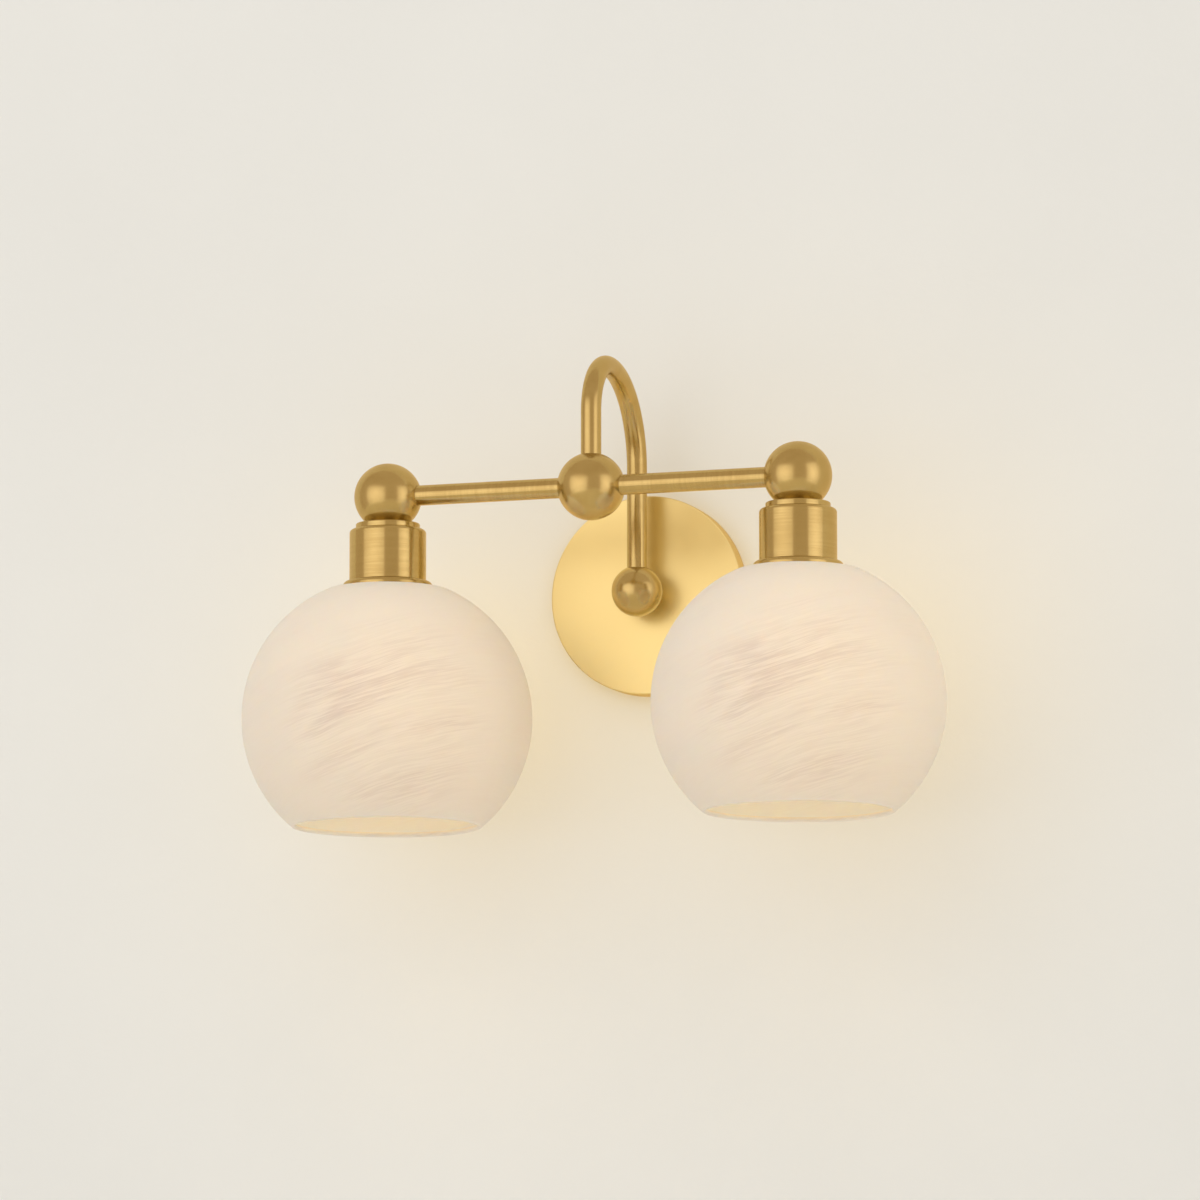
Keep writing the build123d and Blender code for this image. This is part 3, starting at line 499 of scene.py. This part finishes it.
def opal_glass(name, milk_colour):
    """Satin opal glass with fine streaks that rise to the right, painted fainter where it turns away,
    as a painted stand-in for the bulb's light behind them.
    """
    look = bpy.context.scene.vanity_glass
    finish = Finish(name)
    waves = finish.noise(finish.place(), scale=14.0, detail=2.0)
    wander = finish.math("MULTIPLY", waves, STREAK_WANDER)
    lifted = finish.add("CombineXYZ", {"X": 0.0, "Y": 0.0, "Z": wander}).outputs["Vector"]
    tilt, shift = (0, look.streak_tilt, -look.streak_turn), (0, 0, look.streak_shift)
    turned = finish.place(turn=tilt, shift=shift)
    warped = finish.add("VectorMath", {0: turned, 1: lifted}, operation="ADD").outputs["Vector"]

    def streaks(spacing, length, detail):
        """Noise drawn out along the streaks, with shares of their spacing and length."""
        across = 1 / (look.streak_spacing * spacing)
        along = 1 / (look.streak_length * length)
        drawn = finish.add("Mapping", {"Vector": warped, "Scale": (along, along, across)})
        return finish.noise(drawn.outputs["Vector"], detail=detail)

    bands = finish.ramp(streaks(spacing=8, length=3, detail=1.0), 0.38, 0.68, low_to=0.4)
    coarse = streaks(spacing=1, length=1, detail=3.0)
    fine = streaks(spacing=0.45, length=0.6, detail=2.0)
    threads = finish.ramp(finish.math("ADD", coarse, fine), 0.75, 1.25)
    density = finish.math("MULTIPLY", bands, threads)
    # Painted backlight: the streaks fade where the glass turns away from the view, standing in for the
    # bulb's light that shows them through the middle
    facing = finish.add("LayerWeight", {"Blend": 0.5}).outputs["Facing"]
    backlight_fade = finish.ramp(facing, 0.06, 0.36, low_to=1.0, high_to=0.1)
    seen = finish.math("MULTIPLY", density, backlight_fade)
    ripples = finish.noise(finish.place(), scale=40.0, detail=1.0)
    depth = look.scatter_depth
    finish.surface(
        Base_Color=finish.mix(seen, milk_colour, look.streak_colour),
        Roughness=look.roughness, IOR=1.45, Specular_IOR_Level=0.3, Transmission_Weight=look.clearness,
        Subsurface_Weight=1.0, Subsurface_Radius=(1.0, 0.85, 0.65),
        Sheen_Weight=0.15, Sheen_Roughness=0.4, Sheen_Tint=(1.0, 0.94, 0.86),
        Subsurface_Scale=finish.ramp(density, 0, 1, depth * 1.3, depth * 0.7),
        Normal=finish.bump(ripples, 0.06 * MM))
    return finish.material


def frosted_bulb(name):
    """Frosted bulb glass, lit from inside, dimmer towards the neck."""
    look = bpy.context.scene.vanity_bulb
    low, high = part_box("bulb_envelope_left")
    finish = Finish(name)
    height = finish.add("SeparateXYZ", {"Vector": finish.place()}).outputs["Z"]
    brightest = high.z + (low.z - high.z) * 0.75
    glow = finish.ramp(height, high.z, brightest, low_to=0.1)
    cloud = finish.noise(finish.place(), scale=90.0, detail=2.0)
    finish.surface(
        Base_Color=finish.mix(cloud, (0.88, 0.86, 0.82), (0.94, 0.93, 0.90)), Roughness=0.45,
        Emission_Color=look.light_colour,
        Emission_Strength=finish.math("MULTIPLY", glow, look.light_strength),
        Normal=finish.bump(cloud, 0.02 * MM))
    return finish.material


def clear_glass(name):
    """Clear glass of the bulb's inner post."""
    finish = Finish(name)
    seeds = finish.noise(finish.place(), scale=300.0, detail=2.0)
    finish.surface(
        Base_Color=finish.mix(seeds, (0.90, 0.93, 0.92), (0.97, 0.98, 0.98)), Roughness=0.03,
        IOR=1.5, Transmission_Weight=1.0, Normal=finish.bump(seeds, 0.01 * MM))
    return finish.material


def glowing_rod(name):
    """Coated filament rods that glow."""
    look = bpy.context.scene.vanity_bulb
    finish = Finish(name)
    grain = finish.noise(finish.place(), scale=2500.0, detail=1.0)
    finish.surface(
        Base_Color=finish.mix(grain, (0.85, 0.55, 0.12), (0.92, 0.66, 0.22)), Roughness=0.5,
        Emission_Color=look.light_colour, Emission_Strength=look.light_strength,
        Normal=finish.bump(grain, 0.02 * MM))
    return finish.material


def painted_wall(name):
    """Matt wall paint, seen from the front only, so that views from behind show the light."""
    look = bpy.context.scene.vanity_studio
    finish = Finish(name)
    clouds = finish.noise(finish.place(), scale=3.0)
    roller = finish.noise(finish.place(), scale=260.0)
    paint = finish.clouded(clouds, shaded(look.wall_colour, 0.975), look.wall_colour)
    mirrored = finish.add("LightPath", {}).outputs["Is Glossy Ray"]
    finish.surface(
        Base_Color=finish.mix(mirrored, paint, look.mirrored_wall), Roughness=0.9,
        Normal=finish.bump(roller, 0.08 * MM))
    back = finish.add("NewGeometry", {}).outputs["Backfacing"]
    clear = finish.add("BsdfTransparent", {}).outputs["BSDF"]
    shown = finish.add("MixShader", {0: back, 1: finish.shader.outputs["BSDF"], 2: clear})
    finish.feed(finish.tree.nodes["Material Output"].inputs["Surface"], shown.outputs["Shader"])
    return finish.material


# Mesh helpers

def new_piece(name, points, faces, place, material, body, slot, *stands_for):
    """Mesh object that rides on a body and stands for CAD nodes."""
    mesh = bpy.data.meshes.new(name)
    mesh.from_pydata(points, [], faces)
    mesh.validate()
    mesh.shade_smooth()
    mesh.set_sharp_from_angle(angle=SHARP_ANGLE)
    mesh.materials.append(material)
    piece = bpy.data.objects.new(name, mesh)
    bpy.context.scene.collection.objects.link(piece)
    piece.location = place
    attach(piece, body)
    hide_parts(*stands_for)
    return piece


def turned_mesh(outline, segments, moved):
    """Points and faces of a closed outline in (radius, height), turned about Z.

    moved takes the outline's index, radius, height and angle, and gives the radius and height there.
    """
    points = []
    for step in range(segments):
        angle = 2 * math.pi * step / segments
        for index, (radius, height) in enumerate(outline):
            there, up = moved(index, radius, height, angle)
            points.append((there * math.cos(angle), there * math.sin(angle), up))
    count = len(outline)
    faces = []
    for step in range(segments):
        after = (step + 1) % segments
        for index in range(count):
            beyond = (index + 1) % count
            faces.append((step * count + index, step * count + beyond,
                          after * count + beyond, after * count + index))
    return points, faces


def arc(centre, radius, start, stop, steps):
    """Points of an arc in (radius, height), both ends included."""
    angles = [start + (stop - start) * step / steps for step in range(steps + 1)]
    return [(centre[0] + radius * math.cos(a), centre[1] + radius * math.sin(a)) for a in angles]


def line(start, stop, steps):
    """Points of a straight line, without its ends."""
    return [tuple(a + (b - a) * step / steps for a, b in zip(start, stop)) for step in range(1, steps)]


# Glass shades

def shade_outline():
    """Outside and inside of the glass section, from the hole's upper edge to its lower, top at 0."""
    low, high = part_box("glass_shade_left")
    side_centre = (high.x - low.x) / 2 - SHADE_SIDE_RADIUS
    rise = math.sqrt(SHADE_SIDE_RADIUS**2 - (SHADE_FLAT_RADIUS - side_centre) ** 2)
    drop = math.sqrt(SHADE_SIDE_RADIUS**2 - (SHADE_MOUTH_RADIUS - side_centre) ** 2)
    centre = (side_centre, -rise)
    bend = SHADE_SIDE_RADIUS - SHADE_SHOULDER
    shoulder = math.asin((rise - SHADE_SHOULDER) / bend)
    bend_centre = (side_centre + bend * math.cos(shoulder), -SHADE_SHOULDER)
    rim = -math.asin(drop / SHADE_SIDE_RADIUS)
    lip = SHADE_WALL / 2
    turn = rim + math.asin(lip / (SHADE_SIDE_RADIUS - lip))
    lip_centre = arc(centre, SHADE_SIDE_RADIUS - lip, turn, rim, 1)[0]
    hole, under = (SHADE_HOLE_RADIUS, 0.0), (SHADE_HOLE_RADIUS, -SHADE_WALL)
    top = [hole, *line(hole, (bend_centre[0], 0), SHADE_TOP_STEPS)]
    ceiling = [*line((bend_centre[0], -SHADE_WALL), under, SHADE_TOP_STEPS), under]
    outer = top + arc(bend_centre, SHADE_SHOULDER, math.pi / 2, shoulder, SHADE_BEND_STEPS)
    outer += arc(centre, SHADE_SIDE_RADIUS, shoulder, turn, SHADE_SIDE_STEPS)[1:]
    edge = arc(lip_centre, lip, turn, turn - math.pi, SHADE_BEND_STEPS)[1:-1]
    back = arc(centre, SHADE_SIDE_RADIUS - SHADE_WALL, turn, shoulder, SHADE_SIDE_STEPS)
    back += arc(bend_centre, SHADE_SHOULDER - SHADE_WALL, shoulder, math.pi / 2, SHADE_BEND_STEPS)[1:]
    return outer + edge, back + ceiling


def blown_glass(outer_count, amount):
    """Small unevenness of blown glass, none at the fitted top."""
    def stray(where, scale, apart=(0, 0, 0)):
        """Smooth shift at a place, drawn apart from the other shifts."""
        return noise.noise(where * scale + Vector(apart)) * amount

    def moved(index, radius, height, angle):
        share = min(1.0, max(0.0, -height / FITTED_DEPTH))
        where = Vector((math.cos(angle), math.sin(angle), height / UNEVEN_HEIGHT))
        shift = stray(where, scale=1.3)
        if index >= outer_count:
            shift += stray(where, scale=1.7, apart=(5, 3, 1))
        lift = stray(where, scale=0.9, apart=(2, 7, 4))
        return radius + shift * share, height + lift * share
    return moved


# Screw threads

def thread_rise(height, angle, top, bottom):
    """Share of a rolled thread's depth at a place, none at its two ends."""
    wave = 0.5 + 0.5 * math.cos(2 * math.pi * (height / THREAD_PITCH - angle / (2 * math.pi)))
    ends = min(1.0, max(0.0, (top - height) / THREAD_FADE), max(0.0, (height - bottom) / THREAD_FADE))
    return wave * ends


def rolled_cap(length):
    """Outline and movement of a bulb's cap whose rolled thread climbs, top at height 0."""
    inside = CAP_ROOT_RADIUS - CAP_WALL
    outer = [(CAP_ROOT_RADIUS, -length * step / THREAD_STEPS) for step in range(THREAD_STEPS + 1)]
    depth = CAP_CREST_RADIUS - CAP_ROOT_RADIUS

    def moved(index, radius, height, angle):
        if index < len(outer):
            radius += depth * thread_rise(height, angle, 0.0, -CAP_THREAD_LENGTH)
        return radius, height
    return outer + [(inside, -length), (inside, 0.0)], moved


def rolled_liner(length, outside):
    """Outline and movement of a lampholder's liner with its rolled thread, closed end at height 0."""
    inside = outside - LINER_WALL
    rise = (length - LINER_WALL) / THREAD_STEPS
    shell = [(LINER_EYE_RADIUS, 0.0), (outside, 0.0), (outside, -length)]
    wall = [(inside, rise * step - length) for step in range(THREAD_STEPS + 1)]

    def moved(index, radius, height, angle):
        if len(shell) <= index < len(shell) + len(wall):
            radius += LINER_GROOVE * thread_rise(height, angle, -LINER_WALL, -length)
        return radius, height
    return shell + wall + [(LINER_EYE_RADIUS, -LINER_WALL)], moved


# Operators

class VANITY_OT_backplate(bpy.types.Operator):
    """Bright brass backplate with the satin collar that carries the arm"""

    bl_idname = "vanity.backplate"
    bl_label = "Backplate"

    def execute(self, context):
        dress(bright_brass("bright_brass_plate"), "backplate")
        dress(turned_brass("turned_brass_wall", "Y"), "arm_collar")
        dress(turned_brass("turned_brass_screws", "X"), "backplate_set_screws")
        return {"FINISHED"}


class VANITY_OT_arm(bpy.types.Operator):
    """Gooseneck, crossbars and balls"""

    bl_idname = "vanity.arm"
    bl_label = "Arm"

    def execute(self, context):
        look = context.scene.vanity_brass
        dress(satin_brass("satin_brass_tube", look.satin_roughness), "gooseneck_tube")
        balls = ["hub_ball", "knuckle_ball", *both("end_ball")]
        dress(satin_brass("satin_brass_ball", look.ball_roughness), *balls)
        dress(turned_brass("turned_brass_bar", "X"), *both("crossbar"))
        return {"FINISHED"}


class VANITY_OT_cups(bpy.types.Operator):
    """Collars, socket cups and shade seats"""

    bl_idname = "vanity.cups"
    bl_label = "Socket cups"

    def execute(self, context):
        dress(turned_brass("turned_brass_cup", "Z"), *both("cup_collar", "socket_cup", "shade_seat"))
        return {"FINISHED"}


class VANITY_OT_shades(bpy.types.Operator):
    """Blown opal shades"""

    bl_idname = "vanity.shades"
    bl_label = "Glass shades"

    def execute(self, context):
        look = context.scene.vanity_glass
        satin = opal_glass("opal_glass", look.milk_colour)
        # The inside copy is painted shade that cools the bulb's warm light inside the globe
        inside = opal_glass("opal_glass_inside_shaded", look.inside_shade_colour)
        outer, inner = shade_outline()
        outline = outer + inner
        points, faces = turned_mesh(outline, look.segments, blown_glass(len(outer), look.unevenness))
        finishes = [index % len(outline) >= len(outer) for index in range(len(faces))]
        for side in SIDES:
            piece = new_piece("blown_shade_" + side, points, faces, lamp_axis(side), satin,
                              "shade_" + side, "opal_glass", "glass_shade_" + side)
            piece.data.materials.append(inside)
            piece.data.polygons.foreach_set("material_index", finishes)
        return {"FINISHED"}


class VANITY_OT_shade_rings(bpy.types.Operator):
    """Gaskets and the rings that hold the shades up"""

    bl_idname = "vanity.shade_rings"
    bl_label = "Shade rings"

    def execute(self, context):
        dress(moulded("silicone"), *both("shade_gasket"))
        dress(moulded("white_phenolic"), *both("shade_ring"))
        return {"FINISHED"}


class VANITY_OT_lampholders(bpy.types.Operator):
    """Lampholders with their liners, contacts and brackets"""

    bl_idname = "vanity.lampholders"
    bl_label = "Lampholders"

    def execute(self, context):
        steel = plated_metal("zinc_plate_holder")
        contact = plated_metal("contact_brass")
        dress(glazed_porcelain("glazed_porcelain"), *both("lampholder_body"))
        dress(contact, *both("centre_contact"))
        dress(steel, "holder_screws", "cup_lock_nuts", "cup_nipples", *both("holder_bracket"))
        low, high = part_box("screw_shell_left")
        outline, moved = rolled_liner(high.z - low.z, (high.x - low.x) / 2)
        points, faces = turned_mesh(outline, context.scene.vanity_bulb.segments, moved)
        for side in SIDES:
            axis = lamp_axis(side)
            new_piece("rolled_liner_" + side, points, faces, (axis.x, axis.y, high.z), contact,
                      "root", "contact_brass", "screw_shell_" + side)
        return {"FINISHED"}


class VANITY_OT_bulbs(bpy.types.Operator):
    """Frosted bulbs with rolled screw caps"""

    bl_idname = "vanity.bulbs"
    bl_label = "Bulbs"

    def execute(self, context):
        look = context.scene.vanity_bulb
        nickel = plated_metal("nickel_cap")
        dress(frosted_bulb("frosted_bulb"), *both("bulb_envelope"))
        dress(clear_glass("stem_glass"), *both("bulb_stem"))
        dress(glowing_rod("filament"), *both("bulb_filaments"))
        dress(moulded("black_glass"), *both("bulb_insulator"))
        dress(plated_metal("solder"), *both("bulb_foot"))
        low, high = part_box("bulb_cap_left")
        outline, moved = rolled_cap(high.z - low.z)
        points, faces = turned_mesh(outline, look.segments, moved)
        for side in SIDES:
            axis = lamp_axis(side)
            new_piece("rolled_cap_" + side, points, faces, (axis.x, axis.y, high.z), nickel,
                      "bulb_" + side, "nickel", "bulb_cap_" + side)
        return {"FINISHED"}


class VANITY_OT_wall_fixings(bpy.types.Operator):
    """Strap, screws, nuts, nipples and bushing behind the backplate and in the arm"""

    bl_idname = "vanity.wall_fixings"
    bl_label = "Wall fixings"

    def execute(self, context):
        dress(plated_metal("zinc_plate"), "mounting_strap", "arm_lock_nut", "arm_lock_washer",
              "arm_nipple", "tube_nipples")
        dress(plated_metal("green_screw"), "ground_screw")
        dress(moulded("black_bushing"), "wire_bushing")
        return {"FINISHED"}


class VANITY_OT_leads(bpy.types.Operator):
    """Insulated leads and the bare ground wire"""

    bl_idname = "vanity.leads"
    bl_label = "Leads"

    def execute(self, context):
        dress(moulded("black_insulation"), *both("lead_live"))
        dress(moulded("white_insulation"), *both("lead_neutral"))
        dress(plated_metal("bare_copper"), "ground_lead")
        return {"FINISHED"}


# Wall, lights and camera

def aim(location, target):
    """Rotation that points an object's -Z at a target."""
    return (Vector(target) - Vector(location)).to_track_quat("-Z", "Y").to_euler()


def round_the_light(azimuth, elevation, distance):
    """Point round the light: azimuth to the right of the front, elevation over the horizon."""
    flat = distance * math.cos(elevation)
    return Vector((flat * math.sin(azimuth), -flat * math.cos(azimuth), distance * math.sin(elevation)))


def softbox(name, radiance, azimuth, elevation, distance, size, colour=(1, 1, 1)):
    """Rectangular light that faces the object."""
    lamp = bpy.data.lights.new(name, "AREA")
    lamp.shape = "RECTANGLE"
    lamp.size, lamp.size_y = size
    lamp.energy = radiance * math.pi * lamp.size * lamp.size_y
    lamp.color = colour
    light = bpy.data.objects.new(name, lamp)
    light.location = round_the_light(math.radians(azimuth), math.radians(elevation), distance)
    light.rotation_euler = aim(light.location, (0, 0, 0))
    bpy.context.scene.collection.objects.link(light)
    return light


def mirrored_softbox(name, radiance, look, edge_share, **place):
    """Softbox that shows only in brass and in the gloss of the glass, and fades to its corners."""
    light = softbox(name, radiance, colour=look.softbox_colour, **place)
    light.visible_diffuse = False
    fade_to_edges(light.data, edge_share)
    return light


def wash_panel(name, radiance, **place):
    """Softbox that lights matt surfaces, and isn't seen in the brass."""
    light = softbox(name, radiance, **place)
    light.visible_glossy = False
    return light


def link_light(light, things, state="INCLUDE"):
    """Keeps a light to some objects, or off them."""
    receivers = bpy.data.collections.new(light.name + "_receivers")
    light.light_linking.receiver_collection = receivers
    for index, thing in enumerate(things):
        receivers.objects.link(thing)
        receivers.collection_objects[index].light_linking.link_state = state


def fade_to_edges(lamp, edge_share):
    """Lets a softbox fade from its middle to its corners."""
    lamp.use_nodes = True
    nodes, links = lamp.node_tree.nodes, lamp.node_tree.links
    middle, corner = (0.5, 0.5, 0), math.sqrt(0.5)
    spread = nodes.new("ShaderNodeVectorMath")
    spread.operation = "DISTANCE"
    spread.inputs[1].default_value = middle
    fade = nodes.new("ShaderNodeMapRange")
    fade.interpolation_type = "SMOOTHSTEP"
    fade.inputs["From Max"].default_value = corner
    fade.inputs["To Min"].default_value = 1
    fade.inputs["To Max"].default_value = edge_share
    links.new(nodes.new("ShaderNodeNewGeometry").outputs["Parametric"], spread.inputs[0])
    links.new(spread.outputs["Value"], fade.inputs["Value"])
    links.new(fade.outputs["Result"], nodes["Emission"].inputs["Strength"])


def lamp_glow(side, look, wall):
    """Soft light of a lit lamp on the wall behind it, and on nothing else."""
    name = "lamp_glow_" + side
    low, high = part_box("bulb_envelope_" + side)
    lamp = bpy.data.lights.new(name, "POINT")
    lamp.color = look.glow_colour
    lamp.energy = look.glow_power
    lamp.shadow_soft_size = (high.x - low.x) / 2
    lamp.use_shadow = False
    light = bpy.data.objects.new(name, lamp)
    light.location = (low + high) / 2
    bpy.context.scene.collection.objects.link(light)
    link_light(light, [wall])


def room_light(look):
    """Even light from all round, with its own tone where the brass mirrors it."""
    world = bpy.data.worlds.new("room")
    world.use_nodes = True
    nodes, links = world.node_tree.nodes, world.node_tree.links
    even = nodes["Background"]
    even.inputs["Color"].default_value = (*look.room_colour, 1)
    mirrored = nodes.new("ShaderNodeBackground")
    mirrored.inputs["Color"].default_value = (*look.mirrored_colour, 1)
    path = nodes.new("ShaderNodeLightPath")
    mix = nodes.new("ShaderNodeMixShader")
    links.new(path.outputs["Is Glossy Ray"], mix.inputs[0])
    links.new(even.outputs["Background"], mix.inputs[1])
    links.new(mirrored.outputs["Background"], mix.inputs[2])
    links.new(mix.outputs["Shader"], nodes["World Output"].inputs["Surface"])
    return world


def wall_round_hole():
    """Points and faces of a flat wall with a round hole for the wall box behind the backplate."""
    foot = FLOOR_HEIGHT + COVE_RADIUS
    ends = (-WALL_HALF_WIDTH, WALL_HALF_WIDTH)
    corners = [math.atan2(z, x) for x in ends for z in (foot, WALL_TOP)]
    even = [math.pi * (2 * step + 1) / WALL_HOLE_STEPS - math.pi for step in range(WALL_HOLE_STEPS)]
    points = []
    for angle in sorted(even + corners):
        across, up = math.cos(angle), math.sin(angle)
        reach = min(WALL_HALF_WIDTH / abs(across), (WALL_TOP if up > 0 else foot) / up)
        points += [(far * across, WALL_BEHIND, far * up) for far in (WALL_HOLE_RADIUS, reach)]
    count = len(points)
    faces = [(i, i + 1, (i + 3) % count, (i + 2) % count) for i in range(0, count, 2)]
    return points, faces


def backdrop(material):
    """Wall that sweeps down into a floor, facing the light."""
    points, faces = wall_round_hole()
    first = len(points)
    section = []
    for step in range(COVE_STEPS + 1):
        angle = math.pi / 2 * step / COVE_STEPS
        section.append((WALL_BEHIND - COVE_RADIUS * (1 - math.cos(angle)),
                        FLOOR_HEIGHT + COVE_RADIUS * (1 - math.sin(angle))))
    section.append((FLOOR_FRONT, FLOOR_HEIGHT))
    points += [(x, y, z) for y, z in section for x in (-WALL_HALF_WIDTH, WALL_HALF_WIDTH)]
    rows = range(first, first + 2 * len(section) - 2, 2)
    faces += [(row, row + 2, row + 3, row + 1) for row in rows]
    mesh = bpy.data.meshes.new("studio_wall")
    mesh.from_pydata(points, [], faces)
    mesh.shade_smooth()
    mesh.materials.append(material)
    wall = bpy.data.objects.new("studio_wall", mesh)
    bpy.context.scene.collection.objects.link(wall)
    return wall


def studio_lights(look, wall):
    """Softboxes for the brass, panels for the glass, and the lamps' glow on the wall."""
    plate = [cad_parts["backplate"]]
    shades = [bpy.data.objects["blown_shade_" + side] for side in SIDES]
    left_softbox = mirrored_softbox(
        "left_softbox", look.key_radiance, look, edge_share=look.edge_share,
        azimuth=-25, elevation=4, distance=1.7, size=(2.0, 1.6))
    link_light(left_softbox, plate, "EXCLUDE")
    plate_softbox = mirrored_softbox(
        "plate_softbox", look.plate_radiance, look, edge_share=1.0,
        azimuth=-20, elevation=10, distance=1.6, size=(3.4, 3.0))
    link_light(plate_softbox, plate)
    mirrored_softbox(
        "right_softbox", look.side_radiance, look, edge_share=look.edge_share,
        azimuth=68, elevation=4, distance=1.5, size=(1.15, 1.6))
    wash_panel(
        "left_panel", look.left_wash,
        azimuth=-22, elevation=8, distance=2.4, size=(2.8, 2.2))
    right_panel = wash_panel(
        "right_panel", look.right_wash, colour=look.right_colour,
        azimuth=46, elevation=4, distance=2.0, size=(1.6, 2.0))
    link_light(right_panel, shades)
    softbox(
        "wall_box_light", look.box_radiance,
        azimuth=180, elevation=0, distance=1.7, size=(3.0, 3.0))
    for side in SIDES:
        lamp_glow(side, look, wall)


def photo_camera(look):
    """Camera at the photograph's viewing angle."""
    data = bpy.data.cameras.new("camera")
    data.lens = look.camera_lens
    data.clip_end = CAMERA_REACH
    camera = bpy.data.objects.new("camera", data)
    target = Vector(look.camera_target)
    camera.location = target + round_the_light(
        look.camera_azimuth, look.camera_elevation, look.camera_distance)
    camera.rotation_euler = aim(camera.location, target)
    bpy.context.scene.collection.objects.link(camera)
    return camera


class VANITY_OT_studio(bpy.types.Operator):
    """Plain wall, soft lights and the camera"""

    bl_idname = "vanity.studio"
    bl_label = "Studio"

    def execute(self, context):
        look = context.scene.vanity_studio
        wall = backdrop(painted_wall("wall_paint"))
        studio_lights(look, wall)
        context.scene.world = room_light(look)
        context.scene.camera = photo_camera(look)
        context.scene.view_settings.view_transform = "Standard"
        return {"FINISHED"}


class VANITY_PT_looks(bpy.types.Panel):
    """Lists the pieces of the vanity light and their settings"""

    bl_idname = "VANITY_PT_looks"
    bl_label = "Vanity light"
    bl_space_type = "VIEW_3D"
    bl_region_type = "UI"
    bl_category = "Vanity light"

    def draw(self, context):
        for operator in OPERATORS:
            self.layout.operator(operator.bl_idname)
        for look, name in LOOKS.items():
            box = self.layout.box()
            for prop in look.__annotations__:
                box.prop(getattr(context.scene, name), prop)


OPERATORS = (
    VANITY_OT_backplate, VANITY_OT_arm, VANITY_OT_cups, VANITY_OT_shades, VANITY_OT_shade_rings,
    VANITY_OT_lampholders, VANITY_OT_bulbs, VANITY_OT_wall_fixings, VANITY_OT_leads, VANITY_OT_studio,
)
LOOKS = {
    BrassLook: "vanity_brass",
    GlassLook: "vanity_glass",
    BulbLook: "vanity_bulb",
    StudioLook: "vanity_studio",
}


def register():
    for look, name in LOOKS.items():
        bpy.utils.register_class(look)
        setattr(bpy.types.Scene, name, PointerProperty(type=look))
    for kind in (*OPERATORS, VANITY_PT_looks):
        bpy.utils.register_class(kind)


def unregister():
    for kind in (VANITY_PT_looks, *reversed(OPERATORS)):
        bpy.utils.unregister_class(kind)
    for look, name in LOOKS.items():
        delattr(bpy.types.Scene, name)
        bpy.utils.unregister_class(look)


def main():
    register()
    bpy.ops.vanity.backplate()
    bpy.ops.vanity.arm()
    bpy.ops.vanity.cups()
    bpy.ops.vanity.shades()
    bpy.ops.vanity.shade_rings()
    bpy.ops.vanity.lampholders()
    bpy.ops.vanity.bulbs()
    bpy.ops.vanity.wall_fixings()
    bpy.ops.vanity.leads()
    bpy.ops.vanity.studio()


if __name__ == "__main__":
    main()
